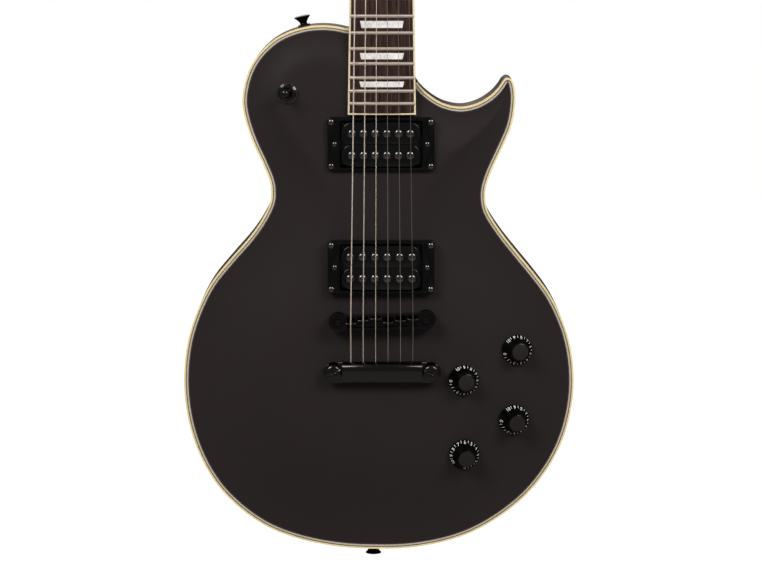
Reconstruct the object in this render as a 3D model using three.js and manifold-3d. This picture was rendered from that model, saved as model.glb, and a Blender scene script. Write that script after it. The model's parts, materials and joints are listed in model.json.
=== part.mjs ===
// An electric guitar: a solid single-cutaway body with a carved, bound top, a set neck,
// two humbucking pickups, a pinned bridge with a stop tailpiece, four knobs and a toggle switch.
//
// It is modelled lying on its back: x to the treble side, y up the neck, z out of the top.
// The last lines stand it up, with its end strap button at the origin and the neck pointing up.
import * as THREE from "three";
import { mergeVertices } from "three/addons/utils/BufferGeometryUtils.js";
import Module from "manifold-3d";

const wasm = await Module();
wasm.setup();

// ---------------------------------------------------------------- driving dimensions (mm)
const GAP = 0.3; // glue line or running clearance between two pieces
const SCALE_LENGTH = 628.65;
const FRETS = 22;

// body
const RIM = 50; // depth of the body at its edge
const FRONT = RIM / 2;
const BACK = -RIM / 2;
const CARVE = 10.3; // rise of the carved top above the rim
const CARVE_WIDTH = 88; // how far the carve runs in from the edge of the lower bout
const CARVE_WIDTH_NECK = 48; // and of the upper bout
const PLATEAU_SLOPE = 0.025; // fall of the flat middle from the bridge towards the neck
const CUTAWAY_TOP = 411.5; // where the cutaway meets the neck
const BACK_ROUND = 2.5;
const BINDING_WIDTH = 4.6;
const BINDING_DEPTH = 6.5;
const CENTRE_OFFSET = 6.5; // the body's centre line is this far to the treble side of the end button
const STRAP_BUTTON_LENGTH = 9.2;
const STRAP_BUTTON_RADIUS = 6.8;
const SHOULDER_BUTTON_X = -65;

// The edge of the body, from the body's centre line (x); its lowest point is the last one here.
const TREBLE_SIDE = [
  [32.5, 405.4], [40, 398.2], [52, 390.8], [67.5, 387.6], [82, 391], [94, 398.8],
  [99.9, 405.6], [102.9, 410], [106.2, 412.1], [109.9, 410.5], [112, 405], [113, 394],
  [109.7, 371.5], [97.5, 343.2],
  [88.5, 319], [90.4, 299.5], [115.4, 264], [142.5, 229.3], [159.4, 190], [163.6, 145],
  [152.1, 97], [123.4, 55.2], [78.2, 23.7], [34, 11.3], [-6.5, 9.2],
];
const BASS_SIDE = [
  [-48.7, 12.8], [-96.2, 27.7], [-135.4, 59.2], [-157.4, 97.7], [-167.1, 143], [-163.3, 191.5],
  [-143.7, 238.4], [-110.2, 278.4], [-93.7, 306.5], [-94, 325.5], [-107.7, 357.4], [-116.6, 391],
  [-108.8, 422.8], [-89.6, 444.2], [-69, 453.4], [-53, 456], [-40, 455.5], [-28, 453.3],
];

// neck and fingerboard
const NECK_X = 0.7; // the neck and strings run this far to the treble side of the centre line
const BOARD_END = 381.6; // where the fingerboard ends on the body
const BOARD_OVERHANG = 9.5; // fingerboard past the last fret
const BOARD_THICKNESS = 6;
const BOARD_RADIUS = 305;
const BOARD_BINDING = 1.6;
const NECK_ANGLE = THREE.MathUtils.degToRad(3.3);
const NUT_WIDTH = 43;
const BOARD_END_WIDTH = 57.2;
const NUT_LENGTH = 5;
const NECK_DEPTH_NUT = 15;
const NECK_DEPTH_BODY = 18.5;
const HEEL_DEPTH = 44;
const HEEL_LENGTH = 42;
const TENON_DEPTH = 28;
const ROD_WIDTH = 6;
const ROD_DEPTH = 9;

// headstock and tuners
const HEAD_ANGLE = THREE.MathUtils.degToRad(14);
const HEAD_THICKNESS = 14.5;
const HEAD_LENGTH = 182;
const TUNER_HALF_SPREAD = 22;
const TUNER_TAPER = 1; // each pair of posts stands this much closer than the pair before
const FIRST_TUNER = 42;
const TUNER_SPACING = 41;
const POST_RADIUS = 3;
const BUSHING_RADIUS = 5;
const WIND_HEIGHT = 7.6;
const WIND_TURNS = 2.4;

// strings, bridge and tailpiece
const STRING_NAMES = ["low_e", "a", "d", "g", "b", "high_e"];
const STRING_RADII = [0.58, 0.46, 0.33, 0.22, 0.17, 0.13];
const SADDLE_SET_BACK = [8.2, 5.7, 4.3, 7.4, 5.8, 4.6]; // intonation, past the scale length
const STRING_SPREAD_NUT = 35.5;
const STRING_SPREAD_BRIDGE = 52.3;
const STRING_OVER_NUT = 1.0; // string above the board at the nut
const STRING_OVER_12TH = 3.0; // and at the twelfth fret, fret included
const BRIDGE_POSTS = 74;
const BRIDGE_WIDTH = 15.6;
const WHEEL_RADIUS = 7.9;
const BRIDGE_HEIGHT = 8.5;
const BRIDGE_SLANT = THREE.MathUtils.degToRad(1.6);
// the bridge stands a little behind the scale length, and the tailpiece and pickups follow it
const BRIDGE_Y = BOARD_END - 6.4
  - (SCALE_LENGTH * 2 ** (-FRETS / 12) - BOARD_OVERHANG) * Math.cos(NECK_ANGLE);
const BOARD_OVER_TOP = 1.026; // the glue face at the board's end stands this far over the flat
const BOARD_UNDERSIDE = FRONT + CARVE + BOARD_OVER_TOP - PLATEAU_SLOPE * (BOARD_END - BRIDGE_Y);
const BRIDGE_X = 1;
const TAIL_STUDS = 82.5;
const TAIL_X = 1;
const TAIL_Y = BRIDGE_Y - 43.8;
const STUD_OFFSET = 0.2; // the studs stand this far towards the strings
const TAIL_LENGTH = 99;
const TAIL_WIDTH = 17.9;
const TAIL_HEIGHT = 10.5;
const TAIL_LIFT = 3.5; // tailpiece above the top
const STUD_HEAD_RADIUS = 6.7;

// pickups
const RING_SIZE = [89.8, 45];
const RING_OPENING = [69, 39.6];
const COIL_SIZE = [67, 37.8];
const PICKUPS = [
  { name: "neck", y: BOARD_END - 24.4, ringHeight: 4.8, poleGap: 3.2 },
  { name: "bridge", y: BRIDGE_Y + 45.3, ringHeight: 9.2, poleGap: 2.8 },
];
const HEIGHT_SCREWS = 77.9;

// controls
const KNOB_RADIUS = 13;
const KNOB_TOP_RADIUS = 6.9;
const KNOB_HEIGHT = 15.5;
const POT_RADIUS = 12;
const POT_HEIGHT = 9;
// Each control leans out with the carve, in degrees to the treble side and up the neck.
const CONTROLS = [
  { name: "bridge_volume", x: 114.9, y: 182.1, treble: 8.5, up: 1 },
  { name: "neck_volume", x: 69.6, y: 157.1, treble: 8.5, up: 0 },
  { name: "bridge_tone", x: 112.5, y: 122.6, treble: 9.5, up: -4.5 },
  { name: "neck_tone", x: 70.4, y: 93.4, treble: 7, up: -7 },
];
const TOP_WALL = 7; // wood left between the control cavity and the top
const CAVITY_RADIUS = 19;
const COVER_LIP = 4;
const COVER_THICKNESS = 2.2;
const SWITCH_POSITION = [-78.5, 399.7];
const SWITCH_CAVITY_RADIUS = 21;
const SWITCH_LEAN = { treble: -5, up: 2.5 };
const JACK_Y = 152;
const JACK_PLATE = 34;
const JACK_DEPTH = 5.2;
const JACK_RADIUS = 4.75;
const JACK_BORE = 3.3;

// ---------------------------------------------------------------- materials
const material = (color, roughness, metalness) =>
  new THREE.MeshStandardMaterial({ color, roughness, metalness });
const satinBlack = material(0x262423, 0.45, 0);
const cream = material(0xead9a2, 0.4, 0);
const rosewood = material(0x3a2420, 0.6, 0);
const blackPlastic = material(0x0c0c0d, 0.3, 0);
const blackMetal = material(0x101012, 0.22, 1);
const steel = material(0xb8b4ad, 0.3, 1);
const bronze = material(0xb49a80, 0.35, 1);
const bone = material(0xe8e2d2, 0.5, 0);

// ---------------------------------------------------------------- solids
// A closed geometry as a solid that can be joined and cut.
function solid(geometry, matrix = new THREE.Matrix4()) {
  const bare = new THREE.BufferGeometry();
  const flat = geometry.index ? geometry.toNonIndexed() : geometry;
  bare.setAttribute("position", flat.getAttribute("position").clone());
  bare.applyMatrix4(matrix);
  const merged = mergeVertices(bare, 1e-4);
  const triVerts = new Uint32Array(merged.index.array);
  const vertProperties = new Float32Array(merged.attributes.position.array);
  const made = new wasm.Manifold(new wasm.Mesh({ numProp: 3, vertProperties, triVerts }));
  if (made.volume() >= 0) return made;
  for (let i = 0; i < triVerts.length; i += 3) {
    [triVerts[i + 1], triVerts[i + 2]] = [triVerts[i + 2], triVerts[i + 1]];
  }
  return new wasm.Manifold(new wasm.Mesh({ numProp: 3, vertProperties, triVerts }));
}

function geometryOf(made) {
  const mesh = made.getMesh();
  const positions = new Float32Array(mesh.numVert * 3);
  for (let i = 0; i < mesh.numVert; i++) {
    positions.set(mesh.vertProperties.subarray(i * mesh.numProp, i * mesh.numProp + 3), i * 3);
  }
  const geometry = new THREE.BufferGeometry();
  geometry.setAttribute("position", new THREE.BufferAttribute(positions, 3));
  geometry.setIndex(new THREE.BufferAttribute(mesh.triVerts, 1));
  geometry.computeVertexNormals();
  return geometry;
}

function addMesh(parent, name, made, look) {
  const geometry = made.isBufferGeometry ? made : geometryOf(made);
  const mesh = new THREE.Mesh(geometry, look);
  mesh.name = name;
  parent.add(mesh);
  return mesh;
}

const shift = (x, y, z) => new THREE.Matrix4().makeTranslation(x, y, z);
const box = (x, y, z) => new THREE.BoxGeometry(x, y, z);
// A box given by its lowest and highest corners.
const block = (low, high) =>
  box(high[0] - low[0], high[1] - low[1], high[2] - low[2]).translate(
    (low[0] + high[0]) / 2, (low[1] + high[1]) / 2, (low[2] + high[2]) / 2,
  );
// A rod along z from one height to another.
const rod = (radius, from, to, sides = 16) =>
  new THREE.CylinderGeometry(radius, radius, to - from, sides)
    .rotateX(Math.PI / 2)
    .translate(0, 0, (from + to) / 2);
// A turned piece about z, from its [radius, height] profile.
const turned = (profile, sides = 18) =>
  new THREE.LatheGeometry(profile.map(([r, z]) => new THREE.Vector2(r, z)), sides).rotateX(Math.PI / 2);
const slab = (shape, from, to, curveSegments = 6) =>
  new THREE.ExtrudeGeometry(shape, { depth: to - from, bevelEnabled: false, curveSegments })
    .translate(0, 0, from);
const polygon = (points) => new THREE.Shape(points.map(([x, y]) => new THREE.Vector2(x, y)));

function roundedRectangle(width, height, radius) {
  const shape = new THREE.Shape();
  const [x, y] = [width / 2 - radius, height / 2 - radius];
  shape.absarc(x, y, radius, 0, Math.PI / 2);
  shape.absarc(-x, y, radius, Math.PI / 2, Math.PI);
  shape.absarc(-x, -y, radius, Math.PI, 1.5 * Math.PI);
  shape.absarc(x, -y, radius, 1.5 * Math.PI, 2 * Math.PI);
  return shape;
}

// The band stretched round circles of one radius, given in counter-clockwise order.
function stretchedRound(centres, radius) {
  const shape = new THREE.Shape();
  centres.forEach(([x, y], i) => {
    const before = centres[(i + centres.length - 1) % centres.length];
    const after = centres[(i + 1) % centres.length];
    const arrive = Math.atan2(y - before[1], x - before[0]) - Math.PI / 2;
    let leave = Math.atan2(after[1] - y, after[0] - x) - Math.PI / 2;
    while (leave < arrive) leave += 2 * Math.PI;
    shape.absarc(x, y, radius, arrive, leave);
  });
  return shape;
}

// A skin over rings of equal point counts, closed by a fan at each end.
function loft(rings, startPoint, endPoint) {
  const count = rings[0].length;
  const mean = (ring) => [0, 1, 2].map((k) => ring.reduce((sum, p) => sum + p[k], 0) / count);
  const positions = rings.flat().flat();
  positions.push(...(startPoint ?? mean(rings[0])), ...(endPoint ?? mean(rings.at(-1))));
  const start = rings.length * count;
  const index = [];
  for (let i = 0; i < count; i++) {
    const next = (i + 1) % count;
    for (let r = 0; r + 1 < rings.length; r++) {
      const [a, b] = [r * count + i, r * count + next];
      index.push(a, b, b + count, a, b + count, a + count);
    }
    const last = (rings.length - 1) * count;
    index.push(start, next, i, start + 1, last + i, last + next);
  }
  const geometry = new THREE.BufferGeometry();
  geometry.setAttribute("position", new THREE.Float32BufferAttribute(positions, 3));
  geometry.setIndex(index);
  return geometry;
}

// ---------------------------------------------------------------- body outline
const NUT_Y = SCALE_LENGTH * (1 - 2 ** (-FRETS / 12)) + BOARD_OVERHANG; // from the board's end
const SHOULDER_Y = BASS_SIDE.at(-1)[1];
const boardHalfWidth = (along) => THREE.MathUtils.lerp(BOARD_END_WIDTH, NUT_WIDTH, along / NUT_Y) / 2;
// The body's edge beside the neck, flush with the neck's own side.
const besideNeck = (y) => [NECK_X + boardHalfWidth(y - BOARD_END) - GAP, y];

const bodyOutline = (() => {
  const stations = [besideNeck(CUTAWAY_TOP), ...TREBLE_SIDE, ...BASS_SIDE]
    .map(([x, y]) => new THREE.Vector3(x, y, 0));
  const curve = new THREE.CatmullRomCurve3(stations, false, "centripetal");
  const points = curve.getPoints((stations.length - 1) * 2).map((p) => [p.x, p.y]);
  return [...points, besideNeck(SHOULDER_Y)].reverse(); // counter-clockwise
})();

function distanceToLine(x, y, line) {
  let best = Infinity;
  line.forEach(([ax, ay], i) => {
    const [bx, by] = line[(i + 1) % line.length];
    const length2 = (bx - ax) ** 2 + (by - ay) ** 2;
    const along = THREE.MathUtils.clamp(((x - ax) * (bx - ax) + (y - ay) * (by - ay)) / length2, 0, 1);
    best = Math.min(best, Math.hypot(x - ax - along * (bx - ax), y - ay - along * (by - ay)));
  });
  return best;
}

// The outline moved inwards, point by point.
function moveIn(line, distance) {
  return line.map(([x, y], i) => {
    const [px, py] = line[(i + line.length - 1) % line.length];
    const [nx, ny] = line[(i + 1) % line.length];
    const length = Math.hypot(nx - px, ny - py);
    return [x - (distance * (ny - py)) / length, y + (distance * (nx - px)) / length];
  });
}

// The same, without the points that cross over where the edge turns too tightly.
const inset = (line, distance) =>
  moveIn(line, distance).filter(([x, y]) => distanceToLine(x, y, line) > distance * 0.97);

const carveEdge = inset(bodyOutline, BINDING_WIDTH + GAP);
const smooth = (t) => THREE.MathUtils.smoothstep(t, 0, 1);

const plateauHeight = (y) => FRONT + CARVE - PLATEAU_SLOPE * Math.max(0, y - BRIDGE_Y);

// Height of the carved top: an S-shaped rise from the edge, under the flat that carries the pickups.
function topHeight(x, y, inside = distanceToLine(x, y, carveEdge)) {
  const width = THREE.MathUtils.lerp(CARVE_WIDTH, CARVE_WIDTH_NECK, smooth((y - 260) / 120));
  const carved = CARVE * smooth(inside / width);
  const flat = plateauHeight(y) - FRONT;
  const blend = 1.2;
  const nearness = Math.max(blend - Math.abs(carved - flat), 0) / blend;
  return FRONT + Math.min(carved, flat) - (nearness ** 2 * blend) / 4;
}

// ---------------------------------------------------------------- frames
const guitar = new THREE.Group();
guitar.rotation.x = Math.PI / 2;
guitar.position.set(CENTRE_OFFSET, 0, STRAP_BUTTON_LENGTH - TREBLE_SIDE.at(-1)[1]);

const neckFrame = new THREE.Group();
neckFrame.position.set(NECK_X, BOARD_END, BOARD_UNDERSIDE);
neckFrame.rotation.x = -NECK_ANGLE;
guitar.add(neckFrame);
neckFrame.updateMatrix();

const headFrame = new THREE.Group();
headFrame.position.set(0, NUT_Y + NUT_LENGTH + 2 * GAP, -GAP);
headFrame.rotation.x = -HEAD_ANGLE;
neckFrame.add(headFrame);
headFrame.updateMatrix();
const headMatrix = neckFrame.matrix.clone().multiply(headFrame.matrix);

// A leaning frame that stands on the carved top, its z along a control's axis.
function frameOnTop(x, y, { treble, up }) {
  const frame = new THREE.Group();
  frame.position.set(x, y, topHeight(x, y));
  frame.rotation.set(-THREE.MathUtils.degToRad(up), THREE.MathUtils.degToRad(treble), 0);
  guitar.add(frame);
  frame.updateMatrix();
  return frame;
}
const controlFrames = CONTROLS.map((control) => frameOnTop(control.x, control.y, control));
const switchFrame = frameOnTop(...SWITCH_POSITION, SWITCH_LEAN);

// ---------------------------------------------------------------- body
const BODY_CENTRE = [0, 239];
const neckTenon = (clearance) => {
  const length = SHOULDER_Y - BOARD_END + HEEL_DEPTH * Math.tan(NECK_ANGLE) + 1;
  const [wide, narrow] = [boardHalfWidth(0) - GAP, boardHalfWidth(length) - GAP];
  const shape = polygon([
    [-wide - clearance, -clearance], [wide + clearance, -clearance],
    [narrow + clearance, length + clearance], [-narrow - clearance, length + clearance],
  ]);
  return slab(shape, -TENON_DEPTH - clearance, clearance ? 20 : -GAP);
};

const controlCentres = [CONTROLS[3], CONTROLS[2], CONTROLS[0], CONTROLS[1]].map((c) => [c.x, c.y]);
const controlShape = (radius) => stretchedRound(controlCentres, radius);
// The jack sits on a flat sunk into the side, deep enough that nothing stands past the edge.
const jackFrame = new THREE.Group();
jackFrame.position.set(Math.max(...bodyOutline.map(([x]) => x)) - JACK_DEPTH, JACK_Y, 0);
jackFrame.rotation.y = Math.PI / 2;
guitar.add(jackFrame);
jackFrame.updateMatrix();

const bridgeMatrix = new THREE.Matrix4().makeRotationZ(BRIDGE_SLANT).setPosition(BRIDGE_X, BRIDGE_Y, 0);
const bridgePosts = [-1, 1].map((side) =>
  new THREE.Vector3((side * BRIDGE_POSTS) / 2, 0, 0).applyMatrix4(bridgeMatrix));
const tailStuds = [-1, 1].map((side) =>
  new THREE.Vector3(TAIL_X + (side * TAIL_STUDS) / 2, TAIL_Y + STUD_OFFSET, 0));

function carvedTop() {
  const shares = [1, 1, 0.94, 0.86, 0.76, 0.63, 0.4];
  const rings = shares.map((share, ring) =>
    carveEdge.map(([ex, ey]) => {
      const x = BODY_CENTRE[0] + share * (ex - BODY_CENTRE[0]);
      const y = BODY_CENTRE[1] + share * (ey - BODY_CENTRE[1]);
      return [x, y, ring === 0 ? 10 : topHeight(x, y)];
    }));
  return loft(rings, [...BODY_CENTRE, 10], [...BODY_CENTRE, topHeight(...BODY_CENTRE)]);
}

function makeBody() {
  const ledge = FRONT - BINDING_DEPTH - GAP;
  const sides = [[BACK_ROUND, BACK], [0.7, BACK + 0.8], [0, BACK + BACK_ROUND], [0, ledge]];
  const rings = sides.map(([into, z]) => moveIn(bodyOutline, into).map(([x, y]) => [x, y, z]));
  const back = solid(loft(rings, [...BODY_CENTRE, BACK], [...BODY_CENTRE, ledge]));
  const deep = BACK - 5;
  const cuts = [
    solid(neckTenon(GAP), neckFrame.matrix),
    solid(slab(controlShape(CAVITY_RADIUS + COVER_LIP), deep, BACK + COVER_THICKNESS + 2 * GAP, 4)),
    solid(rod(SWITCH_CAVITY_RADIUS + COVER_LIP, deep, BACK + COVER_THICKNESS + 2 * GAP, 24),
      shift(...SWITCH_POSITION, 0)),
    solid(rod(SWITCH_CAVITY_RADIUS, deep, FRONT - 5), shift(...SWITCH_POSITION, 0)),
    solid(rod(6.2, -30, 30), switchFrame.matrix),
    solid(block([-JACK_PLATE / 2 - GAP, -JACK_PLATE / 2 - GAP, 0],
      [JACK_PLATE / 2 + GAP, JACK_PLATE / 2 + GAP, 10]), jackFrame.matrix),
    solid(rod(11, -45, 5), jackFrame.matrix),
    ...controlFrames.map((frame) => solid(rod(5.1, -20, 10, 12), frame.matrix)),
    ...bridgePosts.map((p) => solid(rod(3.8, 8, 60, 12), shift(p.x, p.y, 0))),
    ...tailStuds.map((p) => solid(rod(5.8, 8, 60, 12), shift(p.x, p.y, 0))),
  ];
  // the control cavity, with a leaning pocket for each pot
  cuts.push(solid(slab(controlShape(CAVITY_RADIUS), deep, FRONT - 14, 3)));
  cuts.push(...controlFrames.map((frame) =>
    solid(rod(POT_RADIUS + 2, -26, -TOP_WALL, 14), frame.matrix)));
  for (const { y } of PICKUPS) {
    cuts.push(solid(slab(roundedRectangle(RING_OPENING[0] + 2, RING_OPENING[1] + 1, 4), 10, 60, 1),
      shift(0, y, 0)));
    cuts.push(solid(block([-44, -7, 4], [44, 7, 60]), shift(0, y, 0)));
  }
  return wasm.Manifold.union([back, solid(carvedTop())]).subtract(wasm.Manifold.union(cuts));
}
addMesh(guitar, "body", makeBody(), satinBlack);

function makeBinding() {
  const shape = polygon(bodyOutline);
  const outer = solid(slab(shape, FRONT - BINDING_DEPTH, FRONT));
  const inner = solid(slab(polygon(moveIn(carveEdge, -GAP)), 0, 40));
  return outer.subtract(inner).subtract(solid(neckTenon(GAP), neckFrame.matrix));
}
addMesh(guitar, "body_binding", makeBinding(), cream);

// ---------------------------------------------------------------- neck, fingerboard and nut
const stringX = (spread, i) => spread * (i / 5 - 0.5);
const NECK_RING_POINTS = 12;

// The back of the neck: flat on top, rounded below.
function neckSection(halfWidth, depth, squareness) {
  const points = [];
  for (let i = 0; i < NECK_RING_POINTS; i++) {
    const angle = (Math.PI * i) / (NECK_RING_POINTS - 1);
    const x = Math.sign(Math.cos(angle)) * Math.abs(Math.cos(angle)) ** squareness;
    points.push([halfWidth * x, -GAP - (depth - GAP) * Math.sin(angle) ** squareness]);
  }
  return points;
}

function headShape() {
  const half = [
    [NUT_WIDTH / 2 - 1, 0], [24, 14], [35, 30], [38, 45], [37.2, 90], [35.2, 140], [34.6, 162],
    [31, 174], [20, 180], [0, HEAD_LENGTH],
  ];
  const side = new THREE.SplineCurve(half.map(([x, y]) => new THREE.Vector2(x, y)));
  const right = side.getPoints(18);
  const left = right.slice(0, -1).reverse().map((p) => new THREE.Vector2(-p.x, p.y));
  return new THREE.Shape([...right, ...left]);
}

const tuners = STRING_NAMES.map((string, i) => {
  const bass = i < 3;
  const step = bass ? i : 5 - i;
  const x = (bass ? -1 : 1) * (TUNER_HALF_SPREAD - TUNER_TAPER * step);
  return { string, bass, x, y: FIRST_TUNER + TUNER_SPACING * step };
});

function makeNeck() {
  const end = SHOULDER_Y - BOARD_END;
  const rings = [];
  const depthAt = (y) => {
    const taper = (y - end) / (NUT_Y - end);
    const shaft = THREE.MathUtils.lerp(NECK_DEPTH_BODY, NECK_DEPTH_NUT, Math.min(1, Math.max(0, taper)));
    const heel = Math.max(0, 1 - Math.max(0, y - end) / HEEL_LENGTH) ** 2.3;
    return THREE.MathUtils.lerp(shaft, HEEL_DEPTH, heel);
  };
  const shaftSteps = [0.38, 0.67, 0.9].map((part) => part * (NUT_Y - end));
  for (const along of [-6, 0, 4, 9, 15, 24, 42, ...shaftSteps]) {
    const y = end + along;
    const halfWidth = boardHalfWidth(y) - GAP / 2;
    rings.push(neckSection(halfWidth, depthAt(y), 0.85).map(([x, z]) => [x, y, z]));
  }
  rings.push(neckSection(boardHalfWidth(NUT_Y), NECK_DEPTH_NUT, 0.85).map(([x, z]) => [x, NUT_Y, z]));
  for (const [y, halfWidth, depth] of [[3, 20.5, 15.5], [16, 20, 15], [34, 18, 12]]) {
    rings.push(neckSection(halfWidth, depth, 0.85).map(([x, z]) => {
      const p = new THREE.Vector3(x, y, z - GAP).applyMatrix4(headFrame.matrix);
      return [p.x, p.y, p.z];
    }));
  }
  const shaft = solid(loft(rings), neckFrame.matrix);
  const inBody = solid(block([-60, 0, -60], [60, SHOULDER_Y + GAP, 60]));
  const tenon = solid(neckTenon(0), neckFrame.matrix);
  const head = solid(slab(headShape(), -HEAD_THICKNESS, 0), headMatrix);
  const channelEnd = NUT_Y + NUT_LENGTH;
  const cuts = [
    solid(block([-ROD_WIDTH / 2 - GAP, 30, -ROD_DEPTH - 2 * GAP],
      [ROD_WIDTH / 2 + GAP, channelEnd + 8, 4]), neckFrame.matrix),
    solid(block([-6, -4, -9.5], [6, 20, 10]), headMatrix),
    ...tuners.map((t) => solid(rod(BUSHING_RADIUS + GAP, -40, 40, 12),
      headMatrix.clone().multiply(shift(t.x, t.y, 0)))),
  ];
  return shaft.subtract(inBody).add(tenon).add(head).subtract(wasm.Manifold.union(cuts));
}
addMesh(guitar, "neck", makeNeck(), satinBlack);

function boardSection(y, halfWidth) {
  const points = [[-halfWidth, 0]];
  for (let i = 0; i <= 8; i++) {
    const x = halfWidth * (i / 4 - 1);
    points.push([x, BOARD_THICKNESS - x ** 2 / (2 * BOARD_RADIUS)]);
  }
  points.push([halfWidth, 0]);
  return points.map(([x, z]) => [x, y, z]);
}
const boardRing = (y) => boardSection(y, boardHalfWidth(y) - BOARD_BINDING);
addMesh(neckFrame, "fingerboard", solid(loft([boardRing(BOARD_BINDING), boardRing(NUT_Y)])), rosewood);

function makeBoardBinding() {
  const height = BOARD_THICKNESS - boardHalfWidth(0) ** 2 / (2 * BOARD_RADIUS);
  const [wide, narrow] = [boardHalfWidth(0), boardHalfWidth(NUT_Y)];
  const outer = polygon([[-wide, 0], [wide, 0], [narrow, NUT_Y], [-narrow, NUT_Y]]);
  const inside = BOARD_BINDING - GAP;
  const inner = polygon([
    [-wide + inside, inside], [wide - inside, inside],
    [narrow - inside, NUT_Y + 9], [-narrow + inside, NUT_Y + 9],
  ]);
  return solid(slab(outer, 0, height)).subtract(solid(slab(inner, -5, 20)));
}
addMesh(neckFrame, "fingerboard_binding", makeBoardBinding(), cream);

function makeNut() {
  const half = NUT_WIDTH / 2 - GAP;
  const top = BOARD_THICKNESS + STRING_OVER_NUT + 1;
  const blank = solid(block([-half, NUT_Y + GAP, 0], [half, NUT_Y + NUT_LENGTH, top]));
  const slots = STRING_RADII.map((r, i) => {
    const x = stringX(STRING_SPREAD_NUT, i);
    const floor = BOARD_THICKNESS + STRING_OVER_NUT - GAP;
    return solid(block([x - r - GAP, NUT_Y - 5, floor], [x + r + GAP, NUT_Y + 15, top + 5]));
  });
  return blank.subtract(wasm.Manifold.union(slots));
}
addMesh(neckFrame, "nut", makeNut(), bone);

const rodBar = block([-ROD_WIDTH / 2, 40, -ROD_DEPTH - GAP], [ROD_WIDTH / 2, NUT_Y, -2 * GAP]);
const rodEnd = rod(2.4, 0, 12, 12).rotateX(-Math.PI / 2).translate(0, NUT_Y - 2, -5.5);
const trussRod = solid(rodBar).add(solid(rodEnd));
addMesh(neckFrame, "truss_rod", trussRod, steel);

const coverShape = stretchedRound([[-8, 9], [8, 9], [0, 37]], 4);
addMesh(headFrame, "truss_rod_cover", slab(coverShape, GAP, GAP + 1.8, 5), blackPlastic);

// ---------------------------------------------------------------- tuners
// Each stands in its own frame: z out of the headstock's face, x towards its button.
const gearbox = -HEAD_THICKNESS - GAP;
const SHAFT_OFFSET = 7; // the worm runs past the post's gear at this distance
const SHAFT_HEIGHT = gearbox - 5.6;

function tunerHousing() {
  const boxShape = roundedRectangle(17, 22, 3);
  const shell = slab(boxShape, gearbox - 11.4, gearbox, 1).translate(0.5, 3.5, 0);
  const sleeve = rod(BUSHING_RADIUS, gearbox - 1, 3, 12);
  const nut = rod(6.2, GAP, 4, 6);
  const postBore = rod(POST_RADIUS + GAP, gearbox - 8, 20, 12);
  const shaftBore = new THREE.CylinderGeometry(2.6, 2.6, 12, 10).rotateZ(Math.PI / 2);
  shaftBore.translate(10, SHAFT_OFFSET, SHAFT_HEIGHT);
  const whole = wasm.Manifold.union([shell, sleeve, nut].map((g) => solid(g)));
  return whole.subtract(solid(postBore)).subtract(solid(shaftBore));
}

const postProfile = [
  [0, gearbox - 7.5], [POST_RADIUS, gearbox - 7.5], [POST_RADIUS, 6.2], [2.6, 7.0], [2.6, 13],
  [3.2, 14.2], [3.2, 15.6], [2.6, 16.2], [0, 16.2],
];

function tunerButton() {
  const shaft = new THREE.CylinderGeometry(2.3, 2.3, 15, 10).rotateZ(Math.PI / 2).translate(12, 0, 0);
  const profile = [[3.2, 18.6], [6.6, 21.2], [8.2, 26], [8, 31.5], [5.6, 35.2]];
  const rings = profile.map(([half, x]) => {
    const ring = [];
    for (let i = 0; i < 12; i++) {
      const angle = (2 * Math.PI * i) / 12;
      ring.push([x, half * Math.cos(angle), half * 0.62 * Math.sin(angle)]);
    }
    return ring;
  });
  return solid(shaft).add(solid(loft(rings)));
}

const housingGeometry = geometryOf(tunerHousing());
const postGeometry = turned(postProfile, 12);
const buttonGeometry = geometryOf(tunerButton());
for (const tuner of tuners) {
  const frame = new THREE.Group();
  frame.position.set(tuner.x, tuner.y, 0);
  frame.scale.x = tuner.bass ? -1 : 1;
  headFrame.add(frame);
  addMesh(frame, `tuner_housing_${tuner.string}`, housingGeometry, blackMetal);
  addMesh(frame, `tuner_post_${tuner.string}`, postGeometry, blackMetal);
  addMesh(frame, `tuner_button_${tuner.string}`, buttonGeometry, blackMetal)
    .position.set(0, SHAFT_OFFSET, SHAFT_HEIGHT);
}

// ---------------------------------------------------------------- strings
// A path through listed points, so that a tube along it has a ring at each of them.
class Route extends THREE.Curve {
  constructor(points) {
    super();
    this.points = points;
  }
  getPoint(t) {
    const place = t * (this.points.length - 1);
    const i = Math.min(Math.floor(place), this.points.length - 2);
    return this.points[i].clone().lerp(this.points[i + 1], place - i);
  }
  getTangent(t) {
    const i = Math.round(t * (this.points.length - 1));
    const before = this.points[Math.max(0, i - 1)];
    return this.points[Math.min(this.points.length - 1, i + 1)].clone().sub(before).normalize();
  }
  getSpacedPoints(divisions) {
    return this.getPoints(divisions);
  }
  getTangentAt(t) {
    return this.getTangent(t);
  }
}

const inNeck = (x, y, z) => new THREE.Vector3(x, y, z).applyMatrix4(neckFrame.matrix);
const inHead = (x, y, z) => new THREE.Vector3(x, y, z).applyMatrix4(headMatrix);
const stringHeight = (behindNut) =>
  BOARD_THICKNESS + STRING_OVER_NUT
  + (STRING_OVER_12TH - STRING_OVER_NUT) * (behindNut / (SCALE_LENGTH / 2));

// Where a string crosses its saddle, along its centre line.
function saddlePoint(i) {
  const back = SCALE_LENGTH + SADDLE_SET_BACK[i];
  const x = stringX(STRING_SPREAD_BRIDGE, i);
  return inNeck(x, NUT_Y - back, stringHeight(back) + STRING_RADII[i]);
}

const tailBase = FRONT + CARVE + TAIL_LIFT;
const holeHeight = tailBase + 5.2;

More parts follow.
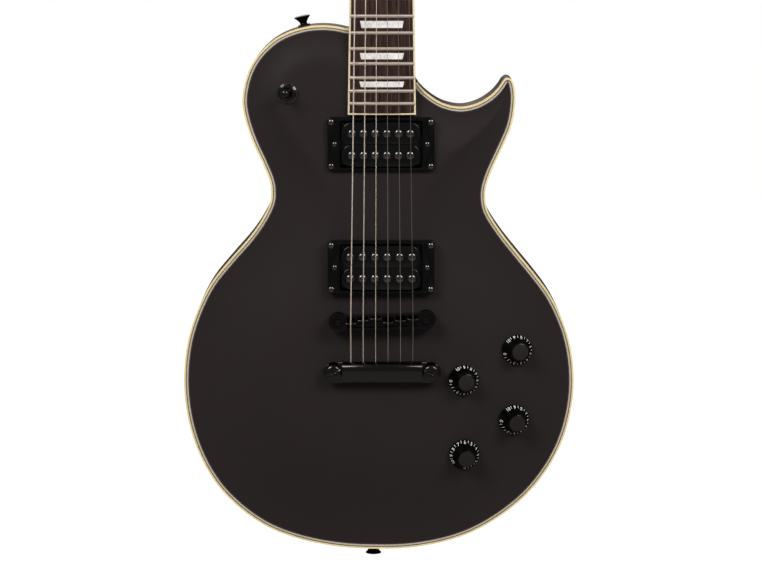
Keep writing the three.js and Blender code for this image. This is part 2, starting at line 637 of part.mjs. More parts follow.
function stringRoute(i) {
  const radius = STRING_RADII[i];
  const saddle = saddlePoint(i);
  const nutX = stringX(STRING_SPREAD_NUT, i);
  const nutZ = BOARD_THICKNESS + STRING_OVER_NUT + radius;
  const tuner = tuners[i];
  const turn = tuner.bass ? 1 : -1;
  const wind = POST_RADIUS + radius + GAP;
  const nut = new THREE.Vector3(nutX, NUT_Y + NUT_LENGTH, nutZ);
  const nutInHead = nut.clone().applyMatrix4(headFrame.matrix.clone().invert());
  const [dx, dy] = [nutInHead.x - tuner.x, nutInHead.y - tuner.y];
  const first = Math.atan2(dy, dx) + turn * Math.acos(wind / Math.hypot(dx, dy));
  const points = [
    new THREE.Vector3(saddle.x, TAIL_Y - TAIL_WIDTH / 2 + 3, holeHeight),
    new THREE.Vector3(saddle.x, TAIL_Y + TAIL_WIDTH / 2 + 1, holeHeight),
    saddle.clone().add(new THREE.Vector3(0, -1.2, -0.35)),
    saddle,
    inNeck(nutX, NUT_Y - 0.5, nutZ),
    inNeck(nutX, NUT_Y + NUT_LENGTH, nutZ - 0.15),
  ];
  const steps = Math.round(WIND_TURNS * 7);
  const pitch = Math.max(2 * radius + 0.15, 0.7);
  for (let k = 0; k <= steps; k++) {
    const wound = (WIND_TURNS * k) / steps;
    const angle = first + turn * 2 * Math.PI * wound;
    points.push(inHead(tuner.x + wind * Math.cos(angle), tuner.y + wind * Math.sin(angle),
      WIND_HEIGHT + pitch * wound));
  }
  return points;
}

STRING_NAMES.forEach((name, i) => {
  const radius = STRING_RADII[i];
  const section = new THREE.Shape();
  for (let k = 0; k < 5; k++) {
    const [x, y] = [radius * Math.cos((k * Math.PI) / 2.5), radius * Math.sin((k * Math.PI) / 2.5)];
    if (k) section.lineTo(x, y);
    else section.moveTo(x, y);
  }
  const points = stringRoute(i);
  const tube = new THREE.ExtrudeGeometry(section, {
    steps: points.length - 1, extrudePath: new Route(points), bevelEnabled: false,
  });
  addMesh(guitar, `string_${name}`, solid(tube), i < 3 ? bronze : steel);
});

// ---------------------------------------------------------------- bridge and tailpiece
const saddleHeights = STRING_NAMES.map((_, i) => saddlePoint(i));
const bridgeTop = Math.min(...saddleHeights.map((p) => p.z)) - 3.4;

function makeBridge() {
  const inverse = bridgeMatrix.clone().invert();
  const half = BRIDGE_POSTS / 2;
  const shape = stretchedRound([[-half, 0], [half, 0]], BRIDGE_WIDTH / 2);
  const low = bridgeTop - BRIDGE_HEIGHT;
  let bridge = solid(slab(shape, low, bridgeTop, 6), bridgeMatrix);
  const trough = block([-30.5, -4.6, low + 3.5], [30.5, 4.6, 90]);
  bridge = bridge.subtract(solid(trough, bridgeMatrix));
  STRING_RADII.forEach((radius, i) => {
    const p = saddleHeights[i].clone().applyMatrix4(inverse);
    const crest = saddleHeights[i].z - radius - GAP;
    const section = polygon([
      [-3.2, low + 3], [3.2, low + 3], [2.2, crest - 1.2], [0, crest], [-2.2, crest - 1.2],
    ]);
    const wedge = slab(section, -3.6, 3.6).rotateX(Math.PI / 2).rotateZ(-Math.PI / 2);
    const placed = bridgeMatrix.clone().multiply(shift(p.x, p.y, 0));
    bridge = bridge.add(solid(wedge, placed));
  });
  const bores = [-half, half].map((x) => solid(rod(2.6, low - 5, bridgeTop + 5, 14),
    bridgeMatrix.clone().multiply(shift(x, 0, 0))));
  return bridge.subtract(wasm.Manifold.union(bores));
}
addMesh(guitar, "bridge", makeBridge(), blackMetal);

// A threaded post with its height wheel, standing in the body under each end of the bridge.
const wheelTop = bridgeTop - BRIDGE_HEIGHT - GAP;
const bridgePostProfile = [
  [0, 12], [3.3, 12], [3.3, wheelTop - 2.6], [WHEEL_RADIUS, wheelTop - 2.6],
  [WHEEL_RADIUS, wheelTop], [2.3, wheelTop], [2.3, bridgeTop - 1], [0, bridgeTop - 1],
];
bridgePosts.forEach((p, i) => {
  addMesh(guitar, `bridge_post_${i ? "treble" : "bass"}`, turned(bridgePostProfile, 14), blackMetal)
    .position.set(p.x, p.y, 0);
});

function makeTailpiece() {
  const half = TAIL_WIDTH / 2;
  // across the bar: a flat underside and a crowned top, a little steeper towards the strings
  const profile = [
    [-half + 1, 0], [half - 1, 0], [half, 2.5], [half - 0.4, 6.2], [half - 2.6, 9.4], [2.5, TAIL_HEIGHT],
    [-1.5, TAIL_HEIGHT], [-half + 2.2, 8.2], [-half + 0.3, 4.4], [-half, 1.5],
  ];
  const middle = TAIL_STUDS / 2 - STUD_HEAD_RADIUS - 1.5;
  const bar = loft([-middle, middle].map((x) => profile.map(([y, z]) => [x, y, z])));
  const ears = stretchedRound([[-TAIL_LENGTH / 2 + half, 0], [TAIL_LENGTH / 2 - half, 0]], half);
  const placed = shift(TAIL_X, TAIL_Y, tailBase);
  let tail = solid(bar).add(solid(slab(ears, 0.8, 6.6, 8)));
  // the slot in each ear hooks round a stud, open towards the strings
  const slots = [-1, 1].map((side) => {
    const x = (side * TAIL_STUDS) / 2;
    return solid(slab(stretchedRound([[x, 20], [x, STUD_OFFSET]], 3.9), -5, 20));
  });
  tail = tail.subtract(wasm.Manifold.union(slots));
  const holes = saddleHeights.map((saddle) => {
    const x = saddle.x - TAIL_X;
    const hole = new THREE.CylinderGeometry(1.3, 1.3, 40, 8).translate(x, 0, holeHeight - tailBase);
    return solid(hole);
  });
  return solid(geometryOf(tail.subtract(wasm.Manifold.union(holes))), placed);
}

addMesh(guitar, "tailpiece", makeTailpiece(), blackMetal);

const earTop = tailBase + 6.6;
const studProfile = [
  [0, 12], [5.2, 12], [5.2, tailBase - TAIL_LIFT + GAP], [7.6, tailBase - TAIL_LIFT + GAP],
  [7.6, tailBase - 0.5 * GAP - 1], [3.5, tailBase - 0.5 * GAP - 1], [3.5, earTop + GAP],
  [STUD_HEAD_RADIUS, earTop + GAP], [STUD_HEAD_RADIUS, earTop + 3.2],
  [STUD_HEAD_RADIUS - 1, earTop + 4.2], [0, earTop + 4.2],
];
tailStuds.forEach((p, i) => {
  addMesh(guitar, `tailpiece_stud_${i ? "treble" : "bass"}`, turned(studProfile, 16), blackMetal)
    .position.set(p.x, p.y, 0);
});

// ---------------------------------------------------------------- pickups
for (const pickup of PICKUPS) {
  const surface = topHeight(0, pickup.y);
  const ringTop = surface + pickup.ringHeight;
  const place = shift(0, pickup.y, 0);
  const back = NUT_Y - (pickup.y - BOARD_END);
  const poleTop = inNeck(0, NUT_Y - back, stringHeight(back)).z - pickup.poleGap;

  const outer = slab(roundedRectangle(...RING_SIZE, 3.5), FRONT, ringTop - 1.2, 3);
  const upperShape = roundedRectangle(RING_SIZE[0] - 1.8, RING_SIZE[1] - 1.8, 3);
  const upper = slab(upperShape, ringTop - 1.3, ringTop, 3);
  const opening = slab(roundedRectangle(...RING_OPENING, 1.5), 0, 90, 2);
  const underside = block([-60, -60, -40], [60, 60, GAP])
    .rotateX(-Math.atan(PLATEAU_SLOPE)).translate(0, 0, plateauHeight(pickup.y));
  const screwHoles = [-1, 1].map((side) =>
    solid(rod(2.0, 0, 90, 10), shift((side * HEIGHT_SCREWS) / 2, pickup.y, 0)));
  const ring = solid(outer, place).add(solid(upper, place))
    .subtract(solid(opening, place))
    .subtract(solid(underside, place))
    .subtract(wasm.Manifold.union(screwHoles));
  addMesh(guitar, `${pickup.name}_pickup_ring`, ring, blackPlastic);

  // two bobbins side by side, each with six pole screws
  const bobbinTop = poleTop - 0.9;
  const bobbinBase = bobbinTop - 11;
  const bobbinWidth = COIL_SIZE[1] / 2;
  const parts = [solid(block([-31, -12, bobbinBase], [31, 12, bobbinTop - 1.5]), place)];
  for (const side of [-1, 1]) {
    const middle = (side * (bobbinWidth - 0.15)) / 2;
    const bobbin = stretchedRound([
      [-COIL_SIZE[0] / 2 + bobbinWidth / 2, middle], [COIL_SIZE[0] / 2 - bobbinWidth / 2, middle],
    ], bobbinWidth / 2 - 0.2);
    parts.push(solid(slab(bobbin, bobbinBase, bobbinTop, 5), place));
    for (let i = 0; i < 6; i++) {
      const x = stringX(pickup.name === "neck" ? 51 : 53, i);
      const head = rod(3, -2, 0.9, 6);
      parts.push(solid(head, shift(x, pickup.y + middle, bobbinTop)));
    }
  }
  addMesh(guitar, `${pickup.name}_pickup_coils`, wasm.Manifold.union(parts), blackPlastic);

  const plate = solid(block([-COIL_SIZE[0] / 2, -18, -1.2], [COIL_SIZE[0] / 2, 18, 0]));
  const legs = [-1, 1].map((side) => {
    const x = (side * HEIGHT_SCREWS) / 2;
    const leg = solid(block([Math.min(x, side * 33) - 0.6, -5.5, -9.5],
      [Math.max(x, side * 33) + 0.6, 5.5, -8.3]));
    const wall = solid(block([side * 33.6 - 0.6, -5.5, -9.5], [side * 33.6 + 0.6, 5.5, -0.2]));
    const tab = solid(block([x - 3.6, -5.5, -9.5], [x + 3.6, 5.5, -8.3]));
    const lift = ringTop - (bobbinBase - GAP);
    const screw = solid(rod(1.45, -13.5, lift - 0.8, 8), shift(x, 0, 0));
    const head = solid(rod(1.7, lift - 2.6, lift - 0.6, 10), shift(x, 0, 0));
    return wasm.Manifold.union([leg, wall, tab, screw, head]);
  });
  const baseplate = solid(geometryOf(wasm.Manifold.union([plate, ...legs])),
    shift(0, pickup.y, bobbinBase - GAP));
  addMesh(guitar, `${pickup.name}_pickup_baseplate`, baseplate, steel);
}

// ---------------------------------------------------------------- controls
const knobBase = 1.6;
const knobTop = knobBase + KNOB_HEIGHT;
const knobProfile = [
  [0, -9], [2.9, -9], [2.9, knobBase], [KNOB_RADIUS, knobBase], [KNOB_RADIUS, knobBase + 1.4],
  [9.6, knobBase + 6.6], [KNOB_TOP_RADIUS + 0.4, knobTop - 1], [KNOB_TOP_RADIUS, knobTop],
  [0, knobTop],
];
const knobGeometry = turned(knobProfile, 18);
const potBase = -TOP_WALL - GAP - POT_HEIGHT;
const potProfile = [
  [0, potBase], [POT_RADIUS, potBase], [POT_RADIUS, -TOP_WALL - GAP], [4.7, -TOP_WALL - GAP],
  [4.7, 1.2], [2.9 + GAP, 1.2], [2.9 + GAP, -9.4], [0, -9.4],
];
const potGeometry = turned(potProfile, 16);
CONTROLS.forEach((control, i) => {
  addMesh(controlFrames[i], `${control.name}_knob`, knobGeometry, blackPlastic);
  addMesh(controlFrames[i], `${control.name}_pot`, potGeometry, steel);
});

// The toggle: a frame under the top with a threaded bushing and nut, and the lever on its pivot.
const switchProfile = [
  [0, -32], [5.6, -32], [5.6, 0.6], [8.4, 0.6], [8.4, 2.4], [6.6, 3.2],
  [5.6, 3.2], [5.6, 4.4], [4.6, 4.4], [3.4, -10], [0, -10],
];
const switchBody = solid(turned(switchProfile, 16))
  .add(solid(block([-6, -13, -33], [6, 13, -14])));
addMesh(switchFrame, "toggle_switch_body", switchBody, blackMetal);
const leverProfile = [
  [0, -6], [1.5, -6], [1.5, 8], [2.6, 9], [3.6, 14], [3.9, 18], [2.8, 20.6], [0, 21.4],
];
addMesh(switchFrame, "toggle_switch_lever", turned(leverProfile, 12), blackPlastic);

// ---------------------------------------------------------------- covers, jack and strap buttons
const coverBack = BACK + GAP;
addMesh(guitar, "control_cavity_cover",
  slab(controlShape(CAVITY_RADIUS + COVER_LIP - GAP), coverBack, coverBack + COVER_THICKNESS, 4),
  blackPlastic);
addMesh(guitar, "switch_cavity_cover",
  rod(SWITCH_CAVITY_RADIUS + COVER_LIP - GAP, coverBack, coverBack + COVER_THICKNESS, 24), blackPlastic)
  .position.set(...SWITCH_POSITION, 0);

const plateHole = solid(rod(JACK_RADIUS + GAP, -10, 10, 20));
const jackPlate = solid(slab(roundedRectangle(JACK_PLATE, JACK_PLATE, 4), GAP, GAP + 1.6, 3));
addMesh(jackFrame, "jack_plate", jackPlate.subtract(plateHole), blackMetal);
const jackProfile = [
  [JACK_BORE, -22], [JACK_RADIUS + 2, -22], [JACK_RADIUS + 2, -2.5], [JACK_RADIUS, -2.5],
  [JACK_RADIUS, 2.2], [6.4, 2.2], [6.4, 3.6], [5.4, 4.4], [JACK_BORE, 4.4], [JACK_BORE, -22],
];
addMesh(jackFrame, "output_jack", turned(jackProfile, 14), steel);

// A strap button: a waisted knob on a washer, z pointing away from the body.
const washerRadius = STRAP_BUTTON_RADIUS - 1.5;
const strapButton = turned([
  [0, GAP], [washerRadius, GAP], [washerRadius, GAP + 1.2], [3.4, GAP + 1.4], [2.9, GAP + 3],
  [STRAP_BUTTON_RADIUS - 0.3, STRAP_BUTTON_LENGTH - 1.6],
  [STRAP_BUTTON_RADIUS, STRAP_BUTTON_LENGTH - 0.9],
  [STRAP_BUTTON_RADIUS - 1.6, STRAP_BUTTON_LENGTH], [0, STRAP_BUTTON_LENGTH],
]);
const endButton = addMesh(guitar, "end_strap_button", strapButton, blackMetal);
endButton.position.set(-CENTRE_OFFSET, TREBLE_SIDE.at(-1)[1], 0);
endButton.rotation.x = Math.PI / 2;

// The other button stands square on the facet of the shoulder nearest to its place.
const facet = bodyOutline.findIndex(([x, y], i) =>
  y > 400 && x >= SHOULDER_BUTTON_X && bodyOutline[i + 1][0] < SHOULDER_BUTTON_X);
const [facetStart, facetEnd] = [bodyOutline[facet], bodyOutline[facet + 1]];
const shoulderButton = addMesh(guitar, "shoulder_strap_button", strapButton, blackMetal);
shoulderButton.position.set((facetStart[0] + facetEnd[0]) / 2, (facetStart[1] + facetEnd[1]) / 2, 0);
shoulderButton.quaternion.setFromUnitVectors(
  new THREE.Vector3(0, 0, 1),
  new THREE.Vector3(facetEnd[1] - facetStart[1], facetStart[0] - facetEnd[0], 0).normalize());

export default guitar;
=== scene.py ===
# A single-cutaway electric guitar in satin black, shown upright and seen from the front.
# It is built in the order in which it is put together: body, binding, neck, strings, hardware,
# pickups and controls. The CAD parts are the frame that every piece is placed on.
import bpy
import bmesh
import json
import math
import numpy as np
from mathutils import Matrix, Vector


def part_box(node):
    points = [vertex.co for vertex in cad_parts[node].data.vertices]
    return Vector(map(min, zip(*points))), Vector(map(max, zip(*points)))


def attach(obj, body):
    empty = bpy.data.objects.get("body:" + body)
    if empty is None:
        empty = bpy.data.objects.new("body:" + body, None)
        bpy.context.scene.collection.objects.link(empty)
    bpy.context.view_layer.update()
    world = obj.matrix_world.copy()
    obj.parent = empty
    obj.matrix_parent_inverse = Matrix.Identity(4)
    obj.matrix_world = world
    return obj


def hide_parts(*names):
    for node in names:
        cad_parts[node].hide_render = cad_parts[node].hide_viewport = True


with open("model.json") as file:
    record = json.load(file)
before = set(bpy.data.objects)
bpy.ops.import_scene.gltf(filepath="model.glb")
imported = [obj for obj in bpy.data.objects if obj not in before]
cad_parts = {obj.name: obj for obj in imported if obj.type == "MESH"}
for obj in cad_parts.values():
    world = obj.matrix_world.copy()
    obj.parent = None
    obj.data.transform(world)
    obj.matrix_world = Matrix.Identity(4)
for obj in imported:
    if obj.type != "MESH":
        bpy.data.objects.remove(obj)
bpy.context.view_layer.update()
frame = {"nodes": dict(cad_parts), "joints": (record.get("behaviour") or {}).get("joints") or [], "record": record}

# ---------------------------------------------------------------- studio
# A white room with a pale floor below the hanging guitar, a large soft light above each shoulder
# and a warmer one behind. The camera stands level with the neck joint and looks slightly down.
scene = bpy.context.scene


def add_object(name, data):
    made = bpy.data.objects.new(name, data)
    scene.collection.objects.link(made)
    return made


def bright_when_seen(tree, otherwise, strength):
    """Full strength to the camera's eye, and less as a light on the guitar."""
    path = tree.nodes.new("ShaderNodeLightPath")
    level = tree.nodes.new("ShaderNodeMapRange")
    level.inputs["To Min"].default_value = otherwise
    level.inputs["To Max"].default_value = 1.0
    tree.links.new(path.outputs["Is Camera Ray"], level.inputs["Value"])
    tree.links.new(level.outputs["Result"], strength)


MIDDLE_X = 0.0065                    # the body's middle, in metres from the end button's
camera = add_object("camera", bpy.data.cameras.new("camera"))
camera.location = (MIDDLE_X, -2.725, 0.5841)
camera.rotation_euler = (math.radians(90 - 7.26), 0, 0)
camera.data.lens = 151.84
camera.data.sensor_width = 36
scene.camera = camera
scene.view_settings.view_transform = "Standard"

world = bpy.data.worlds.new("white room")
scene.world = world
world.use_nodes = True
room = world.node_tree.nodes["Background"]
bright_when_seen(world.node_tree, 0.2, room.inputs["Strength"])
room.inputs["Color"].default_value = (1, 1, 1, 1)

for side, place, size, power in (
    ("left", (-1.25, -1.9, 1.75), 1.1, 42), ("right", (1.3, -1.8, 1.6), 1.0, 34),
    ("back", (-0.3, 1.9, 1.6), 1.2, 16),
):
    lamp = add_object(f"{side}_light", bpy.data.lights.new(f"{side}_light", "AREA"))
    lamp.data.size = size
    lamp.data.energy = power
    lamp.data.color = (1, 0.8, 0.72) if side == "back" else (1, 0.975, 0.95)
    lamp.location = place
    lamp.rotation_euler = (Vector((0, 0, 0.28)) - Vector(place)).to_track_quat("-Z", "Y").to_euler()

floor_mesh = bpy.data.meshes.new("floor")
floor_mesh.from_pydata([(x, y, -0.62) for x, y in ((-9, -9), (9, -9), (9, 9), (-9, 9))],
                       [], [(0, 1, 2, 3)])
floor = add_object("floor", floor_mesh)
pale = bpy.data.materials.new("pale floor")
pale.use_nodes = True
pale_shader = pale.node_tree.nodes["Principled BSDF"]
pale_shader.inputs["Base Color"].default_value = (0.3, 0.29, 0.28, 1)
pale_shader.inputs["Roughness"].default_value = 0.9
pale_shader.inputs["Emission Color"].default_value = (1, 1, 1, 1)
bright_when_seen(pale.node_tree, 0.1, pale_shader.inputs["Emission Strength"])
floor_mesh.materials.append(pale)

# ---------------------------------------------------------------- body
# One solid block of wood with a carved top, sprayed with satin black lacquer.
# The outline follows the CAD body; the wells and cavities are cut into it as a router would.

# The guitar is worked on lying on its back, in millimetres: x to the treble side, y up the neck
# from the body's lowest point, z out of the top. STAND_UP hangs the work upright.
STAND_UP = (Matrix.Translation((MIDDLE_X, 0, 0)) @ Matrix.Rotation(math.radians(90), 4, "X")
            @ Matrix.Scale(0.001, 4))
LIE_DOWN = STAND_UP.inverted()
ALONG_X = Matrix.Rotation(math.pi / 2, 4, "Y")      # lays a piece that stands on z along x
ALONG_Y = Matrix.Rotation(math.pi / 2, 4, "X")      # and along y, with its top at the low end
joints = {joint["name"]: joint for joint in frame["joints"]}


def lying(vector):
    """A direction of the upright guitar, on the bench."""
    return Vector((vector[0], vector[2], -vector[1]))


def lying_box(node):
    """The lowest and highest corners of a CAD part on the bench."""
    low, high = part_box(node)
    a, b = LIE_DOWN @ low, LIE_DOWN @ high
    return Vector(map(min, a, b)), Vector(map(max, a, b))


def on_joint(name, towards):
    """A place on the bench with z along a joint's axis and x as near as can be to a direction."""
    z = lying(joints[name]["axis"]).normalized()
    x = (Vector(towards) - z * z.dot(Vector(towards))).normalized()
    y = z.cross(x)
    directions = Matrix((x, y, z)).transposed().to_4x4()
    return Matrix.Translation(LIE_DOWN @ Vector(joints[name]["pos_m"])) @ directions


def crease(mesh, angle=32):
    mesh.shade_smooth()
    mesh.set_sharp_from_angle(angle=math.radians(angle))


def make_piece(name, points, faces, place=Matrix(), angle=32):
    """A piece from bench points, with its faces turned outwards."""
    mesh = bpy.data.meshes.new(name)
    mesh.from_pydata([STAND_UP @ place @ Vector(p) for p in points], [], faces)
    work = bmesh.new()
    work.from_mesh(mesh)
    bmesh.ops.recalc_face_normals(work, faces=work.faces)
    work.to_mesh(mesh)
    work.free()
    crease(mesh, angle)
    return add_object(name, mesh)


def skin(rings, closed_path=False):
    """Faces over rings of equal counts, capped at both ends or joined end to end."""
    count = len(rings[0])
    steps = len(rings) if closed_path else len(rings) - 1
    faces = []
    for r in range(steps):
        a, b = r * count, ((r + 1) % len(rings)) * count
        for i in range(count):
            j = (i + 1) % count
            faces.append((a + i, a + j, b + j, b + i))
    if not closed_path:
        faces.append(tuple(reversed(range(count))))
        faces.append(tuple(range((len(rings) - 1) * count, len(rings) * count)))
    return [p for ring in rings for p in ring], faces


def slab(name, outline, low, high, place=Matrix()):
    """A plate of one outline."""
    rings = [[(x, y, z) for x, y in outline] for z in (low, high)]
    return make_piece(name, *skin(rings), place)


def turned(name, profile, place=Matrix(), sides=64, tube=False):
    """A turned piece about z from its (radius, height) profile."""
    rings = [[(r * math.cos(2 * math.pi * i / sides), r * math.sin(2 * math.pi * i / sides), z)
              for i in range(sides)] for r, z in profile]
    return make_piece(name, *skin(rings, tube), place)


def arc(cx, cy, radius, start, end, steps=10):
    return [(cx + radius * math.cos(math.radians(start + (end - start) * k / steps)),
             cy + radius * math.sin(math.radians(start + (end - start) * k / steps)))
            for k in range(steps + 1)]


def circle(radius, cx=0.0, cy=0.0, steps=64):
    return arc(cx, cy, radius, 0, 360 - 360 / steps, steps - 1)


def rectangle(left, bottom, right, top):
    return [(left, bottom), (right, bottom), (right, top), (left, top)]


def rounded_rectangle(width, height, radius, cx=0.0, cy=0.0, steps=8):
    x, y = width / 2 - radius, height / 2 - radius
    return (arc(cx + x, cy + y, radius, 0, 90, steps) + arc(cx - x, cy + y, radius, 90, 180, steps)
            + arc(cx - x, cy - y, radius, 180, 270, steps) + arc(cx + x, cy - y, radius, 270, 360,
                                                                 steps))


def stretched_round(centres, radius, steps=16):
    """A band stretched round circles of one radius, given counter-clockwise."""
    outline = []
    for i, (x, y) in enumerate(centres):
        before, after = centres[i - 1], centres[(i + 1) % len(centres)]
        arrive = math.degrees(math.atan2(y - before[1], x - before[0])) - 90
        leave = math.degrees(math.atan2(after[1] - y, after[0] - x)) - 90
        while leave < arrive:
            leave += 360
        outline += arc(x, y, radius, arrive, leave, steps)
    return outline


def plain(piece):
    """Turns a piece with live modifiers into a plain mesh."""
    depsgraph = bpy.context.evaluated_depsgraph_get()
    mesh = bpy.data.meshes.new_from_object(piece.evaluated_get(depsgraph), depsgraph=depsgraph)
    piece.modifiers.clear()
    piece.data = mesh
    return piece


def cut(piece, tools, how="DIFFERENCE", angle=32):
    """Cuts pieces away from another, or joins them to it, and removes them."""
    for tool in tools:
        carve = piece.modifiers.new("cut", "BOOLEAN")
        carve.operation = how
        carve.solver = "MANIFOLD"
        carve.object = tool
        plain(piece)
        bpy.data.objects.remove(tool)
    crease(piece.data, angle)
    return piece


def soften(piece, width, segments=2, angle=32):
    """Rounds a piece's hard edges, as polishing does."""
    bevel = piece.modifiers.new("soft edges", "BEVEL")
    bevel.width = width / 1000
    bevel.segments = segments
    bevel.limit_method = "ANGLE"
    bevel.angle_limit = math.radians(angle)
    bevel.use_clamp_overlap = True
    plain(piece)
    crease(piece.data, 50)
    return piece


def shader_group(name, inputs, outputs):
    tree = bpy.data.node_groups.new(name, "ShaderNodeTree")
    for label, kind, value in inputs:
        socket = tree.interface.new_socket(label, in_out="INPUT", socket_type=kind)
        socket.default_value = value
    for label, kind in outputs:
        tree.interface.new_socket(label, in_out="OUTPUT", socket_type=kind)
    return tree, tree.nodes.new("NodeGroupInput"), tree.nodes.new("NodeGroupOutput")


# Handled surfaces: the colour drifts a little, the gloss is uneven, and the surface isn't flat.
used_surface, given, result = shader_group("used surface", [
    ("Vector", "NodeSocketVector", (0, 0, 0)), ("Colour", "NodeSocketColor", (0.5, 0.5, 0.5, 1)),
    ("Drift", "NodeSocketFloat", 0.1), ("Roughness", "NodeSocketFloat", 0.4),
    ("Unevenness", "NodeSocketFloat", 0.05), ("Scale", "NodeSocketFloat", 40.0),
], [("Colour", "NodeSocketColor"), ("Roughness", "NodeSocketFloat"), ("Height", "NodeSocketFloat")])
nodes, links = used_surface.nodes, used_surface.links


def noise_in(tree, vector, scale, factor=1.0, detail=4.0):
    """Noise at a multiple of a group's scale, from 0 to 1."""
    multiply = tree.nodes.new("ShaderNodeMath")
    multiply.operation = "MULTIPLY"
    multiply.inputs[1].default_value = factor
    tree.links.new(scale, multiply.inputs[0])
    noise = tree.nodes.new("ShaderNodeTexNoise")
    noise.inputs["Detail"].default_value = detail
    tree.links.new(vector, noise.inputs["Vector"])
    tree.links.new(multiply.outputs[0], noise.inputs["Scale"])
    return noise.outputs["Fac"]


def calculate(tree, operation, a, b, c=None):
    step = tree.nodes.new("ShaderNodeMath")
    step.operation = operation
    for socket, value in zip(step.inputs, (a, b, c)):
        if isinstance(value, (int, float)):
            socket.default_value = value
        elif value is not None:
            tree.links.new(value, socket)
    return step.outputs[0]


broad = noise_in(used_surface, given.outputs["Vector"], given.outputs["Scale"])
middle = noise_in(used_surface, given.outputs["Vector"], given.outputs["Scale"], 3.7)
fine = noise_in(used_surface, given.outputs["Vector"], given.outputs["Scale"], 21.0)
swing = calculate(used_surface, "SUBTRACT", broad, 0.5)
lightness = calculate(used_surface, "MULTIPLY_ADD", swing, given.outputs["Drift"], 1.0)
tint = nodes.new("ShaderNodeVectorMath")
tint.operation = "SCALE"
links.new(given.outputs["Colour"], tint.inputs[0])
links.new(lightness, tint.inputs["Scale"])
links.new(tint.outputs[0], result.inputs["Colour"])
patchy = calculate(used_surface, "SUBTRACT", middle, 0.5)
links.new(calculate(used_surface, "MULTIPLY_ADD", patchy, given.outputs["Unevenness"],
                    given.outputs["Roughness"]), result.inputs["Roughness"])
links.new(calculate(used_surface, "MULTIPLY_ADD", fine, 0.35, broad), result.inputs["Height"])


def finish(name, colour, roughness, metallic=0.0, drift=0.15, unevenness=0.06, scale=40.0,
           bump=0.02, grain=(1, 1, 1), coat=0.0, shine=0.5):
    """A material on the used surface, with its own colour, gloss and grain direction."""
    material = bpy.data.materials.new(name)
    material.use_nodes = True
    tree = material.node_tree
    shader = tree.nodes["Principled BSDF"]
    shader.inputs["Metallic"].default_value = metallic
    shader.inputs["Coat Weight"].default_value = coat
    shader.inputs["Specular IOR Level"].default_value = shine
    shader.inputs["Coat Roughness"].default_value = 0.08
    coordinates = tree.nodes.new("ShaderNodeTexCoord")
    along = tree.nodes.new("ShaderNodeMapping")
    along.inputs["Scale"].default_value = grain
    tree.links.new(coordinates.outputs["Object"], along.inputs["Vector"])
    surface = tree.nodes.new("ShaderNodeGroup")
    surface.node_tree = used_surface
    surface.inputs["Colour"].default_value = (*colour, 1)
    surface.inputs["Drift"].default_value = drift
    surface.inputs["Roughness"].default_value = roughness
    surface.inputs["Unevenness"].default_value = unevenness
    surface.inputs["Scale"].default_value = scale
    tree.links.new(along.outputs["Vector"], surface.inputs["Vector"])
    relief = tree.nodes.new("ShaderNodeBump")
    relief.inputs["Strength"].default_value = bump
    relief.inputs["Distance"].default_value = 0.001
    tree.links.new(surface.outputs["Height"], relief.inputs["Height"])
    tree.links.new(surface.outputs["Colour"], shader.inputs["Base Color"])
    tree.links.new(surface.outputs["Roughness"], shader.inputs["Roughness"])
    tree.links.new(relief.outputs["Normal"], shader.inputs["Normal"])
    return material


def settle(piece, material, slot, *stands_for, body="guitar"):
    """Gives a piece its material and fixes it to its CAD body; the slot argument is not used."""
    piece.data.materials.clear()
    piece.data.materials.append(material)
    if stands_for:
        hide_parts(*stands_for)
    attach(piece, body)
    return piece


def repaint(node, material):
    """Gives a material to a CAD part that is shown as it is."""
    part = frame["nodes"][node]
    part.data.materials.clear()
    part.data.materials.append(material)


def node_of(material, kind):
    return next(n for n in material.node_tree.nodes if n.type == kind)


black_lacquer = finish("satin black lacquer", (0.0205, 0.0164, 0.0160), 0.52, drift=0.25,
                       unevenness=0.1, scale=14, bump=0.03, grain=(1, 1, 0.45), shine=0.1)

FRONT, BACK = 25.0, -25.0            # the rim's height above and below the middle of the body
CARVE_RISE, BACK_ROUND = 10.3, 2.5
CARVE_WIDTHS = (88.0, 48.0)          # the carve's run on the lower bout and beside the neck
BODY_MIDDLE = np.array([0.0, 239.0])
BRIDGE_Y, FLAT_FALL = 208.6, 0.025   # the flat falls from the bridge's height towards the neck
BOARD_END_Y = 381.6
NECK_PLACE = Matrix.Translation((0.7, BOARD_END_Y, 32)) @ Matrix.Rotation(math.radians(-3.3), 4, "X")

# The edge comes from the CAD body's corners just above its rounded back, put in order round it.
corners = np.array([LIE_DOWN @ v.co for v in frame["nodes"]["body"].data.vertices])
corners = corners[np.abs(corners[:, 2] - (BACK + BACK_ROUND)) < 0.06][:, :2]
corners = np.unique(np.round(corners, 2), axis=0)
bearing = np.arctan2(*(corners - BODY_MIDDLE).T[::-1])
corners = corners[np.argsort(-bearing)]
spaced = np.hypot(*(corners - np.roll(corners, 1, axis=0)).T) > 0.4
corners = corners[spaced]
at_neck = (corners[:, 1] > 404) & (np.abs(corners[:, 0]) < 31)
foot = min(np.flatnonzero(at_neck), key=lambda i: corners[i, 1])
corners = np.roll(corners, -foot, axis=0)
heel_corner = corners[-1]            # on the treble side, flush with the neck
corners = corners[:-1]


